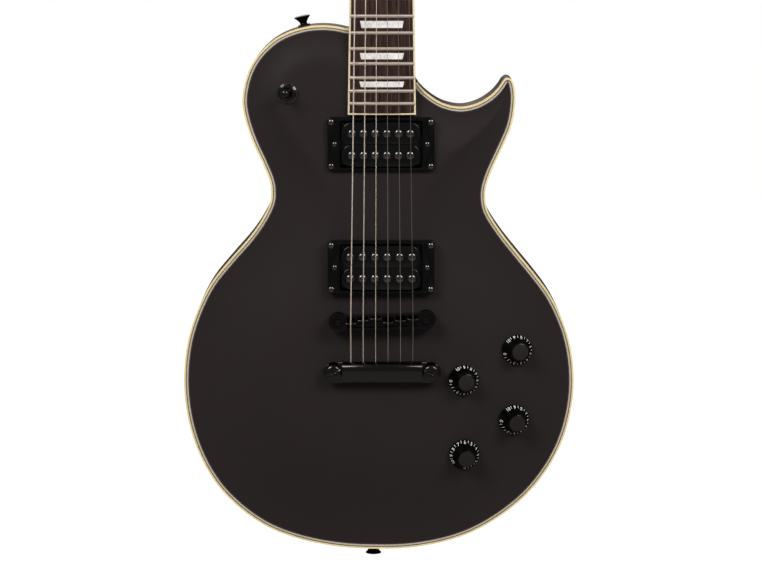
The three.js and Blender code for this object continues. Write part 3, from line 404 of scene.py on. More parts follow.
def spring_curve(points, parts=4):
    """A centripetal curve through points, open at both ends."""
    padded = np.vstack([2 * points[0] - points[1], points, 2 * points[-1] - points[-2]])
    line = []
    for i in range(len(points) - 1):
        p = padded[i:i + 4]
        t = np.concatenate([[0], np.cumsum(np.sqrt(np.hypot(*np.diff(p, axis=0).T)))])
        for k in range(parts):
            u = t[1] + (t[2] - t[1]) * k / parts
            a = [(p[j] * (t[j + 1] - u) + p[j + 1] * (u - t[j])) / (t[j + 1] - t[j]) for j in range(3)]
            b = [(a[j] * (t[j + 2] - u) + a[j + 1] * (u - t[j])) / (t[j + 2] - t[j]) for j in range(2)]
            line.append((b[0] * (t[2] - u) + b[1] * (u - t[1])) / (t[2] - t[1]))
    return np.array(line + [points[-1]])


rim = spring_curve(corners)          # from the cutaway round the treble side to the bass shoulder
edge = np.vstack([rim, heel_corner])[::-1]     # counter-clockwise and closed


def moved_in(line, distance, closed=True):
    """A line's points moved to its left by a distance, mitred at corners."""
    ahead, behind = np.roll(line, -1, axis=0) - line, line - np.roll(line, 1, axis=0)
    if not closed:
        ahead[-1], behind[0] = behind[-1], ahead[0]
    n1, n2 = ([np.array([-d[1], d[0]]) / max(np.hypot(*d), 1e-9) for d in part]
              for part in (behind, ahead))
    moved = []
    for p, a, b in zip(line, n1, n2):
        mean = (a + b) / max(np.hypot(*(a + b)), 1e-9)
        moved.append(p + mean * distance / max(mean @ a, 0.6))
    return np.array(moved)


def smooth_step(t):
    t = np.clip(t, 0, 1)
    return t * t * (3 - 2 * t)


def top_height(points, line):
    """The carved top: an S-shaped rise from the edge under a flat that falls towards the neck."""
    a, b = line, np.roll(line, -1, axis=0)
    reach = np.full(len(points), 1e9)
    for start, end in zip(a, b):
        d = end - start
        t = np.clip(((points - start) @ d) / max(d @ d, 1e-9), 0, 1)
        reach = np.minimum(reach, np.hypot(*(points - start - t[:, None] * d).T))
    y = points[:, 1]
    width = CARVE_WIDTHS[0] + (CARVE_WIDTHS[1] - CARVE_WIDTHS[0]) * smooth_step((y - 260) / 120)
    carved = CARVE_RISE * smooth_step(reach / width)
    flat = CARVE_RISE - FLAT_FALL * np.maximum(0, y - BRIDGE_Y)
    near = np.maximum(1.2 - np.abs(carved - flat), 0) / 1.2
    return FRONT + np.minimum(carved, flat) - near ** 2 * 0.3


BINDING_WIDTH = 4.6
inner_edge = moved_in(edge, BINDING_WIDTH)
rings = []
for step in range(5):                # the rounded back edge
    turn = math.radians(22.5 * step)
    line = moved_in(edge, BACK_ROUND * (1 - math.sin(turn)))
    rings.append(np.column_stack([line, np.full(len(line), BACK + BACK_ROUND * (1 - math.cos(turn)))]))
for inwards, height in ((0, 18.4), (1.55, 18.4), (1.55, 22.7), (BINDING_WIDTH, 22.7),
                        (BINDING_WIDTH, FRONT)):
    line = moved_in(edge, inwards)
    rings.append(np.column_stack([line, np.full(len(line), height)]))
for share in (0.985, 0.97, 0.95, 0.93, 0.91, 0.885, 0.86, 0.83, 0.8, 0.765, 0.73, 0.69, 0.65, 0.6,
              0.55, 0.5, 0.43, 0.36, 0.28, 0.2, 0.12, 0.05):
    line = BODY_MIDDLE + share * (inner_edge - BODY_MIDDLE)
    rings.append(np.column_stack([line, top_height(line, inner_edge)]))
rings[-1][:, 2] = rings[-1][:, 2].mean()
body = make_piece("body_block", *skin([[tuple(p) for p in ring] for ring in rings]))

controls = ("bridge_volume", "neck_volume", "bridge_tone", "neck_tone")
control_places = {name: on_joint(f"{name}_turn", (1, 0, 0)) for name in controls}
cavity_centres = [control_places[name].translation.xy for name in
                  ("neck_tone", "bridge_tone", "bridge_volume", "neck_volume")]
lever_lean = (-math.sin(math.radians(5)), math.sin(math.radians(2.5)), 1)
switch_place = on_joint("toggle_tilt", lever_lean) @ ALONG_X
switch_low, switch_high = lying_box("switch_cavity_cover")
switch_centre = (switch_low + switch_high) / 2
jack_low, jack_high = lying_box("jack_plate")
jack_centre = (jack_low + jack_high) / 2
JACK_PLACE = Matrix.Translation((jack_low.x - 0.3, jack_centre.y, 0)) @ ALONG_X

wells = [
    slab("neck_pocket", [(-28.6, -0.3), (28.6, -0.3), (27.8, 78), (-27.8, 78)], -28.3, 20, NECK_PLACE),
    slab("cover_recess", stretched_round(cavity_centres, 23), BACK - 5, BACK + 2.8),
    slab("control_cavity", stretched_round(cavity_centres, 19), BACK - 5, 11),
    slab("switch_recess", circle(25, *switch_centre.xy), BACK - 5, BACK + 2.8),
    slab("switch_cavity", circle(21, *switch_centre.xy), BACK - 5, 20),
    slab("jack_recess", rounded_rectangle(34.8, 34.8, 4), 0, 10, JACK_PLACE),
    slab("jack_bore", circle(11), -45, 5, JACK_PLACE),
]
wells += [slab("pot_pocket", circle(14), -26, -7, control_places[name]) for name in controls]
wells.append(slab("switch_hole", circle(5.9), -40, 30, switch_place))
for pickup in ("neck", "bridge"):
    low, high = lying_box(f"{pickup}_pickup_ring")
    middle_y = (low.y + high.y) / 2
    wells.append(slab("pickup_well", rounded_rectangle(71, 40.6, 4, 0, middle_y), 10, 60))
    wells.append(slab("screw_well", rounded_rectangle(88, 14, 2, 0, middle_y), 4, 60))
cut(body, wells)
settle(body, black_lacquer, "satin_black_lacquer", "body")

# ---------------------------------------------------------------- body binding
# Layers of celluloid glued in a ledge round the top: a deep cream strip at the edge, then thin
# dark, grey and brown lines beside it. They stop where the neck enters.


def geometry_tree(name, inputs, output):
    """A new geometry nodes tree, with its inputs' sockets and the socket of its one output."""
    tree = bpy.data.node_groups.new(name, "GeometryNodeTree")
    for label, kind in inputs:
        tree.interface.new_socket(label, in_out="INPUT", socket_type=f"NodeSocket{kind}")
    tree.interface.new_socket(output, in_out="OUTPUT", socket_type="NodeSocketGeometry")
    given, result = tree.nodes.new("NodeGroupInput"), tree.nodes.new("NodeGroupOutput")
    return tree, given.outputs, result.inputs[output]


def join(tree, *pairs):
    for source, target in pairs:
        tree.links.new(source, target)


def end_tree(tree, shape, material, result):
    """Makes a tree's copies real and paints them."""
    whole = tree.nodes.new("GeometryNodeRealizeInstances")
    painted = tree.nodes.new("GeometryNodeSetMaterial")
    join(tree, (shape, whole.inputs[0]), (whole.outputs[0], painted.inputs["Geometry"]),
         (material, painted.inputs["Material"]), (painted.outputs[0], result))
    return tree


def strip_tree():
    """Geometry nodes: a strip of one width and height swept along a line."""
    tree, given, result = geometry_tree("binding strip", (
        ("Line", "Geometry"), ("Width", "Float"), ("Height", "Float"), ("Material", "Material"),
    ), "Strip")
    path = tree.nodes.new("GeometryNodeMeshToCurve")
    upright = tree.nodes.new("GeometryNodeSetCurveNormal")
    upright.mode = "Z_UP"
    section = tree.nodes.new("GeometryNodeCurvePrimitiveQuadrilateral")
    sweep = tree.nodes.new("GeometryNodeCurveToMesh")
    sweep.inputs["Fill Caps"].default_value = True
    join(tree, (given["Line"], path.inputs["Mesh"]), (path.outputs[0], upright.inputs["Curve"]),
         (given["Width"], section.inputs["Width"]), (given["Height"], section.inputs["Height"]),
         (upright.outputs[0], sweep.inputs["Curve"]),
         (section.outputs[0], sweep.inputs["Profile Curve"]))
    return end_tree(tree, sweep.outputs[0], given["Material"], result)


def grow(piece, tree, **values):
    """Runs a geometry nodes tree on a piece with the given inputs, and keeps the plain result."""
    modifier = piece.modifiers.new(tree.name, "NODES")
    modifier.node_group = tree
    for socket in tree.interface.items_tree:
        label = socket.name.replace(" ", "_").lower()
        if socket.in_out == "INPUT" and label in values:
            modifier[socket.identifier] = values[label]
    plain(piece)
    piece.data.transform(STAND_UP)
    crease(piece.data)
    return piece


def line_piece(name, points):
    """A bare line on the bench, for a tree to work along."""
    mesh = bpy.data.meshes.new(name)
    mesh.from_pydata([tuple(p) for p in points], [(i, i + 1) for i in range(len(points) - 1)], [])
    return add_object(name, mesh)


BINDING_STRIP = strip_tree()
# name, start and width across, height, colour, roughness
PLIES = (
    ("cream", 0.0, 1.5, 6.5, (0.86, 0.71, 0.38), 0.32),
    ("dark_line", 1.5, 0.85, 2.2, (0.13, 0.10, 0.055), 0.4),
    ("grey_line", 2.35, 1.3, 2.2, (0.50, 0.46, 0.40), 0.35),
    ("brown_line", 3.65, 0.95, 2.2, (0.045, 0.028, 0.018), 0.4),
)
for name, start, width, height, colour, roughness in PLIES:
    ply = finish(f"celluloid {name.replace('_', ' ')}", colour, roughness, drift=0.3, scale=90,
                 bump=0.015)
    middle_line = moved_in(rim[::-1], start + width / 2, closed=False)
    strip = line_piece(f"body_binding_{name}", [(x, y, FRONT - height / 2) for x, y in middle_line])
    grow(strip, BINDING_STRIP, width=width - 0.02, height=height, material=ply)
    settle(strip, ply, "cream_binding", *(["body_binding"] if name == "cream" else []))

# ---------------------------------------------------------------- neck
# One length of mahogany, rounded behind, with a tenon glued in the body's pocket and a tilted
# headstock. It is sprayed like the body; the truss rod lies in a channel under the fingerboard.
SCALE_LENGTH, FRETS = 628.65, 22
NUT_Y = SCALE_LENGTH * (1 - 2 ** (-FRETS / 12)) + 9.5     # the board's length
BOARD_WIDTHS = (57.2, 43.0)
SHOULDER = 453.3 - BOARD_END_Y       # where the neck leaves the body
HEAD_PLACE = (NECK_PLACE @ Matrix.Translation((0, NUT_Y + 5.6, -0.3))
              @ Matrix.Rotation(math.radians(-14), 4, "X"))


def half_board(along):
    return (BOARD_WIDTHS[0] + (BOARD_WIDTHS[1] - BOARD_WIDTHS[0]) * along / NUT_Y) / 2


def neck_section(half, depth, y, tilt=Matrix(), points=36):
    ring = []
    for i in range(points):
        angle = math.pi * i / (points - 1)
        x = math.copysign(abs(math.cos(angle)) ** 0.85, math.cos(angle))
        ring.append(tuple(tilt @ Vector((half * x, y, -0.3 - (depth - 0.3) * math.sin(angle) ** 0.85))))
    return ring


def neck_depth(y):
    shaft = 18.5 - 3.5 * min(1, max(0, (y - SHOULDER) / (NUT_Y - SHOULDER)))
    heel = max(0, 1 - max(0, y - SHOULDER) / 42) ** 2.3
    return shaft + (44 - shaft) * heel


stations = [0.3, 1, 2, 3.5, 5, 7, 9, 12, 15, 19, 24, 30, 36,
            42] + list(np.linspace(60, NUT_Y - SHOULDER, 16))
sections = [neck_section(half_board(SHOULDER + s) - 0.15, neck_depth(SHOULDER + s), SHOULDER + s)
            for s in stations]
to_head = NECK_PLACE.inverted() @ HEAD_PLACE
sections += [neck_section(half, depth, y, to_head)
             for y, half, depth in ((3, 20.6, 15.4), (10, 20.4, 15.4), (18, 19.8, 14.8), (34, 18, 12))]
neck = make_piece("neck_shaft", *skin(sections), NECK_PLACE)
HEAD_SIDE = [(20.6, 0), (21.6, 7), (24, 14), (29.5, 22), (35, 30), (37.6, 37), (38, 45), (37.8, 65),
             (37.2, 90),
             (36.2, 115), (35.2, 140), (34.6, 162), (33.6, 169), (31, 174), (26.5, 178), (20, 180),
             (10, 181.6), (0, 182)]
side = spring_curve(np.array(HEAD_SIDE, float), 3)
head_outline = [tuple(p) for p in side] + [(-x, y) for x, y in side[-2::-1]]
head = slab("head", head_outline, -14.5, 0, HEAD_PLACE)
tenon = slab("tenon", [(-28.3, 0), (28.3, 0), (27.4, 74.6), (-27.4, 74.6)], -28, -0.3, NECK_PLACE)
cut(neck, [head, tenon], "UNION")
neck_cuts = [
    slab("rod_channel", rectangle(-3.3, 30, 3.3, NUT_Y + 13), -9.6, 4, NECK_PLACE),
    slab("rod_pocket", rounded_rectangle(12, 24, 3, 0, 8), -9.5, 10, HEAD_PLACE),
]
strings = ("low_e", "a", "d", "g", "b", "high_e")
tuner_places = {s: on_joint(f"{s}_post_turn", (-1 if i < 3 else 1, 0, 0))
                for i, s in enumerate(strings)}
neck_cuts += [slab("tuner_hole", circle(5.3), -40, 40, tuner_places[s]) for s in strings]
cut(neck, neck_cuts)
soften(neck, 0.8, 2, 50)
settle(neck, black_lacquer, "satin_black_lacquer", "neck")

nickel = finish("satin nickel", (0.62, 0.60, 0.57), 0.28, metallic=1.0, drift=0.08, scale=200,
                bump=0.02)
repaint("truss_rod", nickel)

# ---------------------------------------------------------------- fingerboard
# Rosewood, planed to a radius and bound in cream, with pearl blocks set flush between the frets.
# Twenty-two nickel frets are pressed into slots; their spacing is the twelfth root of two.
rosewood = finish("oiled rosewood", (0.05, 0.026, 0.022), 0.5, drift=1.0, unevenness=0.25, scale=520,
                  shine=0.25,
                  bump=0.25, grain=(1.0, 1.0, 0.05))
streaks = rosewood.node_tree.nodes
streak_noise = streaks.new("ShaderNodeTexNoise")
streak_noise.inputs["Scale"].default_value = 620
streak_noise.inputs["Detail"].default_value = 5
streak_stretch = streaks.new("ShaderNodeMapping")
streak_stretch.inputs["Scale"].default_value = (1, 1, 0.06)
streak_colours = streaks.new("ShaderNodeValToRGB")
streak_colours.color_ramp.elements[0].position = 0.36
streak_colours.color_ramp.elements[0].color = (0.011, 0.006, 0.005, 1)
streak_colours.color_ramp.elements[1].position = 0.64
streak_colours.color_ramp.elements[1].color = (0.062, 0.029, 0.023, 1)
wood_links = rosewood.node_tree.links
wood_links.new(node_of(rosewood, "TEX_COORD").outputs["Object"], streak_stretch.inputs["Vector"])
wood_links.new(streak_stretch.outputs["Vector"], streak_noise.inputs["Vector"])
wood_links.new(streak_noise.outputs["Fac"], streak_colours.inputs["Fac"])
wood_links.new(streak_colours.outputs["Color"], node_of(rosewood, "GROUP").inputs["Colour"])

BOARD_RADIUS, BOARD_THICKNESS, BOARD_BINDING = 305.0, 6.0, 1.6


def board_top(x):
    return BOARD_THICKNESS - x * x / (2 * BOARD_RADIUS)


def board_ring(y, half, low=0.0, points=24):
    ring = [(-half, y, low)]
    ring += [(half * (2 * i / points - 1), y, board_top(half * (2 * i / points - 1)))
             for i in range(points + 1)]
    return ring + [(half, y, low)]


board = make_piece("fingerboard_wood", *skin([
    board_ring(y, half_board(y) - BOARD_BINDING) for y in (BOARD_BINDING, NUT_Y)]), NECK_PLACE)
soften(board, 0.15, 1)
settle(board, rosewood, "rosewood", "fingerboard")

cream = finish("cream celluloid", (0.83, 0.72, 0.47), 0.33, drift=0.3, scale=90, bump=0.015)
wide, narrow = half_board(0), half_board(NUT_Y)
low_top = board_top(wide)
outer = [(-wide, 0), (wide, 0), (narrow, NUT_Y), (-narrow, NUT_Y)]
board_edging = slab("fingerboard_edging", outer, 0, low_top, NECK_PLACE)
inset = BOARD_BINDING - 0.05
cut(board_edging,
    [slab("inside", [(-wide + inset, inset), (wide - inset, inset), (narrow - inset, NUT_Y + 9),
                                   (-narrow + inset, NUT_Y + 9)], -5, 20, NECK_PLACE)])
soften(board_edging, 0.35, 3)
settle(board_edging, cream, "cream_binding", "fingerboard_binding")


INLAID_FRETS = (3, 5, 7, 9, 12, 15, 17, 19, 21)


def fret_place(number):
    """How far a fret is from the board's end."""
    return NUT_Y - SCALE_LENGTH * (1 - 2 ** (-number / 12))


pearl = finish("pearl", (0.80, 0.71, 0.68), 0.22, drift=0.5, unevenness=0.1, scale=130, bump=0.0,
               coat=0.5)
cloud = pearl.node_tree.nodes.new("ShaderNodeTexNoise")
cloud.inputs["Scale"].default_value = 170
cloud.inputs["Distortion"].default_value = 2.2
shimmer = pearl.node_tree.nodes.new("ShaderNodeValToRGB")
for element, (position, colour) in zip(
    [shimmer.color_ramp.elements[0], shimmer.color_ramp.elements[1],
     shimmer.color_ramp.elements.new(0.5)],
    ((0.3, (0.62, 0.64, 0.66, 1)), (0.7, (0.95, 0.93, 0.88, 1)), (0.5, (0.84, 0.80, 0.78, 1))),
):
    element.position = position
    element.color = colour
pearl.node_tree.links.new(cloud.outputs["Fac"], shimmer.inputs["Fac"])
pearl.node_tree.links.new(node_of(pearl, "TEX_COORD").outputs["Object"],
                          cloud.inputs["Vector"])
pearl.node_tree.links.new(shimmer.outputs["Color"],
                          node_of(pearl, "GROUP").inputs["Colour"])

for number in INLAID_FRETS:
    low, high = fret_place(number), fret_place(number - 1)
    height = min(0.42 * (high - low), 12.0)
    centre = (low + high) / 2
    share = half_board(centre) / half_board(fret_place(21))
    upper, lower = 18.8 * share, 17.6 * share
    block = []
    for y, half in ((centre - height / 2, lower), (centre + height / 2, upper)):
        ring = [(half * (2 * i / 16 - 1), y, board_top(half * (2 * i / 16 - 1)) + 0.04)
                for i in range(17)]
        block.append(ring + [(x, y, z - 1.2) for x, y, z in ring[::-1]])
    inlay = make_piece(f"inlay_fret_{number}", *skin(block), NECK_PLACE)
    settle(inlay, pearl, "bone")

side_dot = finish("black side dot", (0.012, 0.012, 0.012), 0.4)
for number in INLAID_FRETS:
    centre = (fret_place(number) + fret_place(number - 1)) / 2
    offsets = (-4, 4) if number == 12 else (0,)
    for k, offset in enumerate(offsets):
        y = centre + offset
        place = NECK_PLACE @ Matrix.Translation((-half_board(y), y, 2.9)) @ ALONG_X
        dot = turned(f"side_dot_{number}_{k}", [(1.0, -0.05), (1.0, 0.8)], place, 20)
        settle(dot, side_dot, "black_plastic")


def fret_tree():
    """Geometry nodes: frets at their spacing, each as wide as the board is there and bent to it."""
    tree, given, result = geometry_tree("frets", (
        ("Wire", "Geometry"), ("Count", "Int"), ("Scale length", "Float"), ("Board length", "Float"),
        ("Half width at end", "Float"), ("Half width at nut", "Float"), ("Radius", "Float"),
        ("Material", "Material"),
    ), "Frets")
    row = tree.nodes.new("GeometryNodeMeshLine")
    row.inputs["Offset"].default_value = (0, 0, 0)
    tree.links.new(given["Count"], row.inputs["Count"])
    number = calculate(tree, "ADD", tree.nodes.new("GeometryNodeInputIndex").outputs[0], 1)
    octave = calculate(tree, "DIVIDE", number, -12)
    from_nut = calculate(tree, "MULTIPLY",
                         calculate(tree, "SUBTRACT", 1, calculate(tree, "POWER", 2, octave)),
                         given["Scale length"])
    along = calculate(tree, "SUBTRACT", given["Board length"], from_nut)
    share = calculate(tree, "DIVIDE", along, given["Board length"])
    narrowing = calculate(tree, "SUBTRACT", given["Half width at nut"], given["Half width at end"])
    half = calculate(tree, "MULTIPLY_ADD", narrowing, share, given["Half width at end"])
    where = tree.nodes.new("ShaderNodeCombineXYZ")
    tree.links.new(along, where.inputs["Y"])
    spread = tree.nodes.new("GeometryNodeSetPosition")
    tree.links.new(row.outputs[0], spread.inputs["Geometry"])
    tree.links.new(where.outputs[0], spread.inputs["Position"])
    size = tree.nodes.new("ShaderNodeCombineXYZ")
    size.inputs["Y"].default_value = size.inputs["Z"].default_value = 1
    tree.links.new(half, size.inputs["X"])
    pressed = tree.nodes.new("GeometryNodeInstanceOnPoints")
    tree.links.new(spread.outputs[0], pressed.inputs["Points"])
    tree.links.new(given["Wire"], pressed.inputs["Instance"])
    tree.links.new(size.outputs[0], pressed.inputs["Scale"])
    apart = tree.nodes.new("GeometryNodeRealizeInstances")
    tree.links.new(pressed.outputs[0], apart.inputs[0])
    parts = tree.nodes.new("ShaderNodeSeparateXYZ")
    tree.links.new(tree.nodes.new("GeometryNodeInputPosition").outputs[0], parts.inputs[0])
    drop = calculate(tree, "DIVIDE",
                     calculate(tree, "MULTIPLY", parts.outputs["X"], parts.outputs["X"]),
                     calculate(tree, "MULTIPLY", given["Radius"], -2))
    bent = tree.nodes.new("ShaderNodeCombineXYZ")
    tree.links.new(drop, bent.inputs["Z"])
    fitted = tree.nodes.new("GeometryNodeSetPosition")
    tree.links.new(apart.outputs[0], fitted.inputs["Geometry"])
    tree.links.new(bent.outputs[0], fitted.inputs["Offset"])
    return end_tree(tree, fitted.outputs[0], given["Material"], result)


fret_wire = finish("polished fret wire", (0.80, 0.70, 0.61), 0.34, metallic=1.0, drift=0.08, scale=300)
crown = [(1.45 * math.cos(math.radians(a)),
          BOARD_THICKNESS - 0.35 + 1.25 * math.sin(math.radians(a)) ** 0.8)
         for a in range(0, 181, 15)]
wire_rings = [[(x * (1 - 0.012 * k), y * (1 - 0.5 * k), z - 0.5 * k) for y, z in crown]
              for x, k in ((-1, 1), *((x, 0) for x in (-0.985, -0.66, -0.33, 0, 0.33, 0.66, 0.985)),
                           (1, 1))]
wire_mesh = bpy.data.meshes.new("frets")
wire_points, wire_faces = skin(wire_rings)
wire_mesh.from_pydata(wire_points, [], wire_faces)
frets = add_object("frets", wire_mesh)
grow(frets, fret_tree(), count=FRETS, scale_length=SCALE_LENGTH, board_length=NUT_Y,
     half_width_at_end=half_board(0) - 0.5,
     half_width_at_nut=half_board(NUT_Y) - 0.5, radius=BOARD_RADIUS, material=fret_wire)
frets.data.transform(STAND_UP @ NECK_PLACE @ LIE_DOWN)
settle(frets, fret_wire, "nickel_steel")

# ---------------------------------------------------------------- nut and truss rod cover
# A slotted bone nut glued across the end of the board, and a small black cover screwed over
# the truss rod's adjuster.
bone = finish("polished bone", (0.78, 0.74, 0.63), 0.35, drift=0.35, scale=160, bump=0.02)
nut = slab("nut_blank", rectangle(-21.2, NUT_Y + 0.3, 21.2, NUT_Y + 5), 0, 8, NECK_PLACE)
NUT_SPREAD = 35.5                    # between the outer strings
STRING_RADII = (0.58, 0.46, 0.33, 0.22, 0.17, 0.13)


def across(spread, i):
    return spread * (i / 5 - 0.5)


nut_slots = []
for i, r in enumerate(STRING_RADII):
    x = across(NUT_SPREAD, i)
    nut_slots.append(slab("slot", rectangle(x - r - 0.25, NUT_Y - 5, x + r + 0.25, NUT_Y + 15), 6.7, 20,
                          NECK_PLACE))
cut(nut, nut_slots)
soften(nut, 0.25, 2)
settle(nut, bone, "bone", "nut")

black_plastic = finish("polished black plastic", (0.0025, 0.0022, 0.0022), 0.2, drift=0.3,
                       unevenness=0.1, shine=0.35,
                       scale=60, bump=0.015)
black_chrome = finish("black chrome", (0.040, 0.036, 0.036), 0.15, metallic=1.0, drift=0.25,
                      unevenness=0.08,
                      scale=90, bump=0.015)


def screw_tree():
    """Geometry nodes: the same screw at every point, square to one plane."""
    tree, given, result = geometry_tree("screws", (
        ("Points", "Geometry"), ("Screw", "Object"), ("Size", "Float"), ("Turn", "Float"),
        ("Material", "Material"),
    ), "Screws")
    screw = tree.nodes.new("GeometryNodeObjectInfo")
    placed = tree.nodes.new("GeometryNodeInstanceOnPoints")
    drift = tree.nodes.new("FunctionNodeRandomValue")
    drift.inputs["Seed"].default_value = 7
    turn = calculate(tree, "MULTIPLY_ADD", drift.outputs[1], given["Turn"], 0.0)
    angles = tree.nodes.new("ShaderNodeCombineXYZ")
    join(tree, (given["Screw"], screw.inputs["Object"]), (given["Points"], placed.inputs["Points"]),
         (screw.outputs["Geometry"], placed.inputs["Instance"]), (turn, angles.inputs["Z"]),
         (angles.outputs[0], placed.inputs["Rotation"]), (given["Size"], placed.inputs["Scale"]))
    return end_tree(tree, placed.outputs[0], given["Material"], result)


SCREW_TREE = screw_tree()


def loose(piece):
    """Takes a piece back to the bench, as a pattern for copies that isn't shown itself."""
    piece.data.transform(LIE_DOWN)
    piece.hide_render = piece.hide_viewport = True
    scene.collection.objects.unlink(piece)
    return piece


# A domed head with a cross cut in it, one millimetre in radius.
screw_head = turned("screw_pattern",
                    [(1.0, -0.3), (1.0, 0.05), (0.93, 0.28), (0.7, 0.47), (0.4, 0.56), (0.12, 0.6)],
                    sides=24)
cut(screw_head, [slab("cross", rectangle(-0.55, -0.11, 0.55, 0.11), 0.25, 2),
                 slab("cross", rectangle(-0.11, -0.55, 0.11, 0.55), 0.25, 2)])
SCREW = loose(screw_head)


def screws(name, points, place, size, slot, material=black_chrome, body="guitar", turn=3.0,
           pattern=SCREW):
    mesh = bpy.data.meshes.new(name)
    mesh.from_pydata(points, [], [])
    made = add_object(name, mesh)
    grow(made, SCREW_TREE, screw=pattern, size=size, turn=turn, material=material)
    made.data.transform(STAND_UP @ place @ LIE_DOWN)
    return settle(made, material, slot, body=body)


cover = slab("rod_cover", stretched_round([(-8, 9), (8, 9), (0, 37)], 4), 0.3, 2.1, HEAD_PLACE)
soften(cover, 0.5, 3)
settle(cover, black_plastic, "black_plastic", "truss_rod_cover")
screws("rod_cover_screws", [(0, 36, 2.1), (0, 9, 2.1)], HEAD_PLACE, 1.7, "black_chrome")

# ---------------------------------------------------------------- tuners
# Sealed black chrome machine heads: a gearbox behind the headstock, a threaded bushing, nut and
# washer in front, a post with a cross hole for the string, and a button on the worm's shaft.
GEARBOX = -14.8
for i, s in enumerate(strings):
    place = tuner_places[s]
    case = slab(f"tuner_case_{s}", rounded_rectangle(17, 22, 4.5, 0.5, 3.5), GEARBOX - 11.3, GEARBOX,
                place)
    soften(case, 1.6, 4)
    worm_place = place @ Matrix.Translation((0, 7 if i < 3 else -7, GEARBOX - 5.6)) @ ALONG_X
    worm_cover = turned("worm_cover", [(5.0, 8), (5.0, 10), (4.2, 13.2), (3.2, 13.8)], worm_place, 40)
    bushing = turned("bushing", [(5.0, GEARBOX - 1), (5.0, 2.2), (4.6, 4.1), (3.5, 4.3)], place, 40)
    nut_ring = slab("bushing_nut", arc(0, 0, 6.2, 0, 300, 5), 0.9, 3.4, place)
    soften(nut_ring, 0.4, 2)
    washer = turned("washer", [(7.6, 0.05), (7.6, 0.55), (7.2, 0.9), (4, 0.9)], place, 40)
    cut(case, [worm_cover, bushing, nut_ring, washer], "UNION")
    cut(case, [slab("post_bore", circle(3.3, steps=32), GEARBOX - 8, 20, place),
               turned("worm_bore", [(2.6, 4), (2.6, 20)], worm_place, 32)])
    settle(case, black_chrome, "black_chrome", f"tuner_housing_{s}")
    post = turned(f"tuner_shaft_{s}", [
        (2.98, GEARBOX - 7.4), (2.98, 5.6), (2.9, 6.1), (2.65, 6.8), (2.5, 8.5), (2.5, 11.5),
        (2.65, 13.2),
        (3.1, 14.2), (3.2, 14.8), (3.15, 15.6), (2.8, 16.1), (1.5, 16.15)], place, 40)
    cut(post, [turned("string_hole", [(0.9, -6), (0.9, 6)],
                      place @ Matrix.Translation((0, 0, 10.2)) @ ALONG_X, 20)])
    settle(post, black_chrome, "black_chrome", f"tuner_post_{s}", body=f"{s}_post_body")

    button_at = Matrix.Translation(LIE_DOWN @ Vector(joints[f"{s}_button_turn"]["pos_m"]))
    button_place = button_at @ place.to_3x3().to_4x4()
    profile = [(2.25, 4.5), (2.25, 17.6), (2.9, 18.3), (3.4, 18.7), (4.6, 19.4), (6.1, 20.9), (7.2, 23),
               (7.9, 25.5),
               (8.15, 28), (8.0, 30.5), (7.4, 32.8), (6.2, 34.4), (4.2, 35.1)]
    rings = []
    for k, (half, x) in enumerate(profile):
        flat = 1.0 if k < 2 else max(0.62, 1.0 - 0.38 * (k - 1) / 4)
        rings.append([(x, half * math.copysign(abs(math.cos(a)) ** 0.85, math.cos(a)),
                       half * flat * math.copysign(abs(math.sin(a)) ** 0.85, math.sin(a)))
                      for a in np.linspace(0, 2 * math.pi, 36, endpoint=False)])
    button = make_piece(f"tuner_key_{s}", *skin(rings), button_place, 50)
    settle(button, black_chrome, "black_chrome", f"tuner_button_{s}", body=f"{s}_button_body")
tuner_screws = []
for i, s in enumerate(strings):
    at = HEAD_PLACE.inverted() @ tuner_places[s] @ Vector((0.5, -9.8 if i < 3 else 9.8, 0))
    tuner_screws.append((*at.xy, 0))
head_back = (HEAD_PLACE @ Matrix.Translation((0, 0, -14.5)) @ Matrix.Rotation(math.pi, 4, "X")
             @ Matrix.Scale(-1, 4, (0, 1, 0)))
screws("tuner_screws", tuner_screws, head_back, 1.3, "black_chrome")

# ---------------------------------------------------------------- strings
# Six steel strings, the low three wound with bronze. Each runs from its ball end in the tailpiece
# over its saddle and the nut, and winds round its tuner's post.
plain_steel = finish("plain string steel", (0.66, 0.60, 0.55), 0.28, metallic=1.0, drift=0.1, scale=200,
                     bump=0.0)
wound = finish("bronze winding", (0.93, 0.80, 0.69), 0.4, metallic=1.0, drift=0.15, scale=200, bump=0.0)
turns = wound.node_tree.nodes.new("ShaderNodeTexWave")
turns.bands_direction = "Z"
turns.inputs["Scale"].default_value = 700
turn_relief = wound.node_tree.nodes.new("ShaderNodeBump")
turn_relief.inputs["Strength"].default_value = 0.6
turn_relief.inputs["Distance"].default_value = 0.0001
wound.node_tree.links.new(node_of(wound, "TEX_COORD").outputs["Object"],
                          turns.inputs["Vector"])
wound.node_tree.links.new(turns.outputs["Fac"], turn_relief.inputs["Height"])
wound.node_tree.links.new(turn_relief.outputs["Normal"],
                          wound.node_tree.nodes["Principled BSDF"].inputs["Normal"])

SET_BACK = (8.2, 5.7, 4.3, 7.4, 5.8, 4.6)
BRIDGE_SPREAD = 52.3
WINDINGS, WINDING_STEPS = 2.4, 58    # turns of string on each post
tail_low, tail_high = lying_box("tailpiece")
HOLE_HEIGHT = tail_low.z + 5.2


def string_height(behind_nut):
    return BOARD_THICKNESS + 1.0 + 2.0 * behind_nut / (SCALE_LENGTH / 2)


saddle_points = [NECK_PLACE @ Vector((across(BRIDGE_SPREAD, i), NUT_Y - SCALE_LENGTH - SET_BACK[i],
                                      string_height(SCALE_LENGTH + SET_BACK[i]) + STRING_RADII[i]))
                                      for i in range(6)]


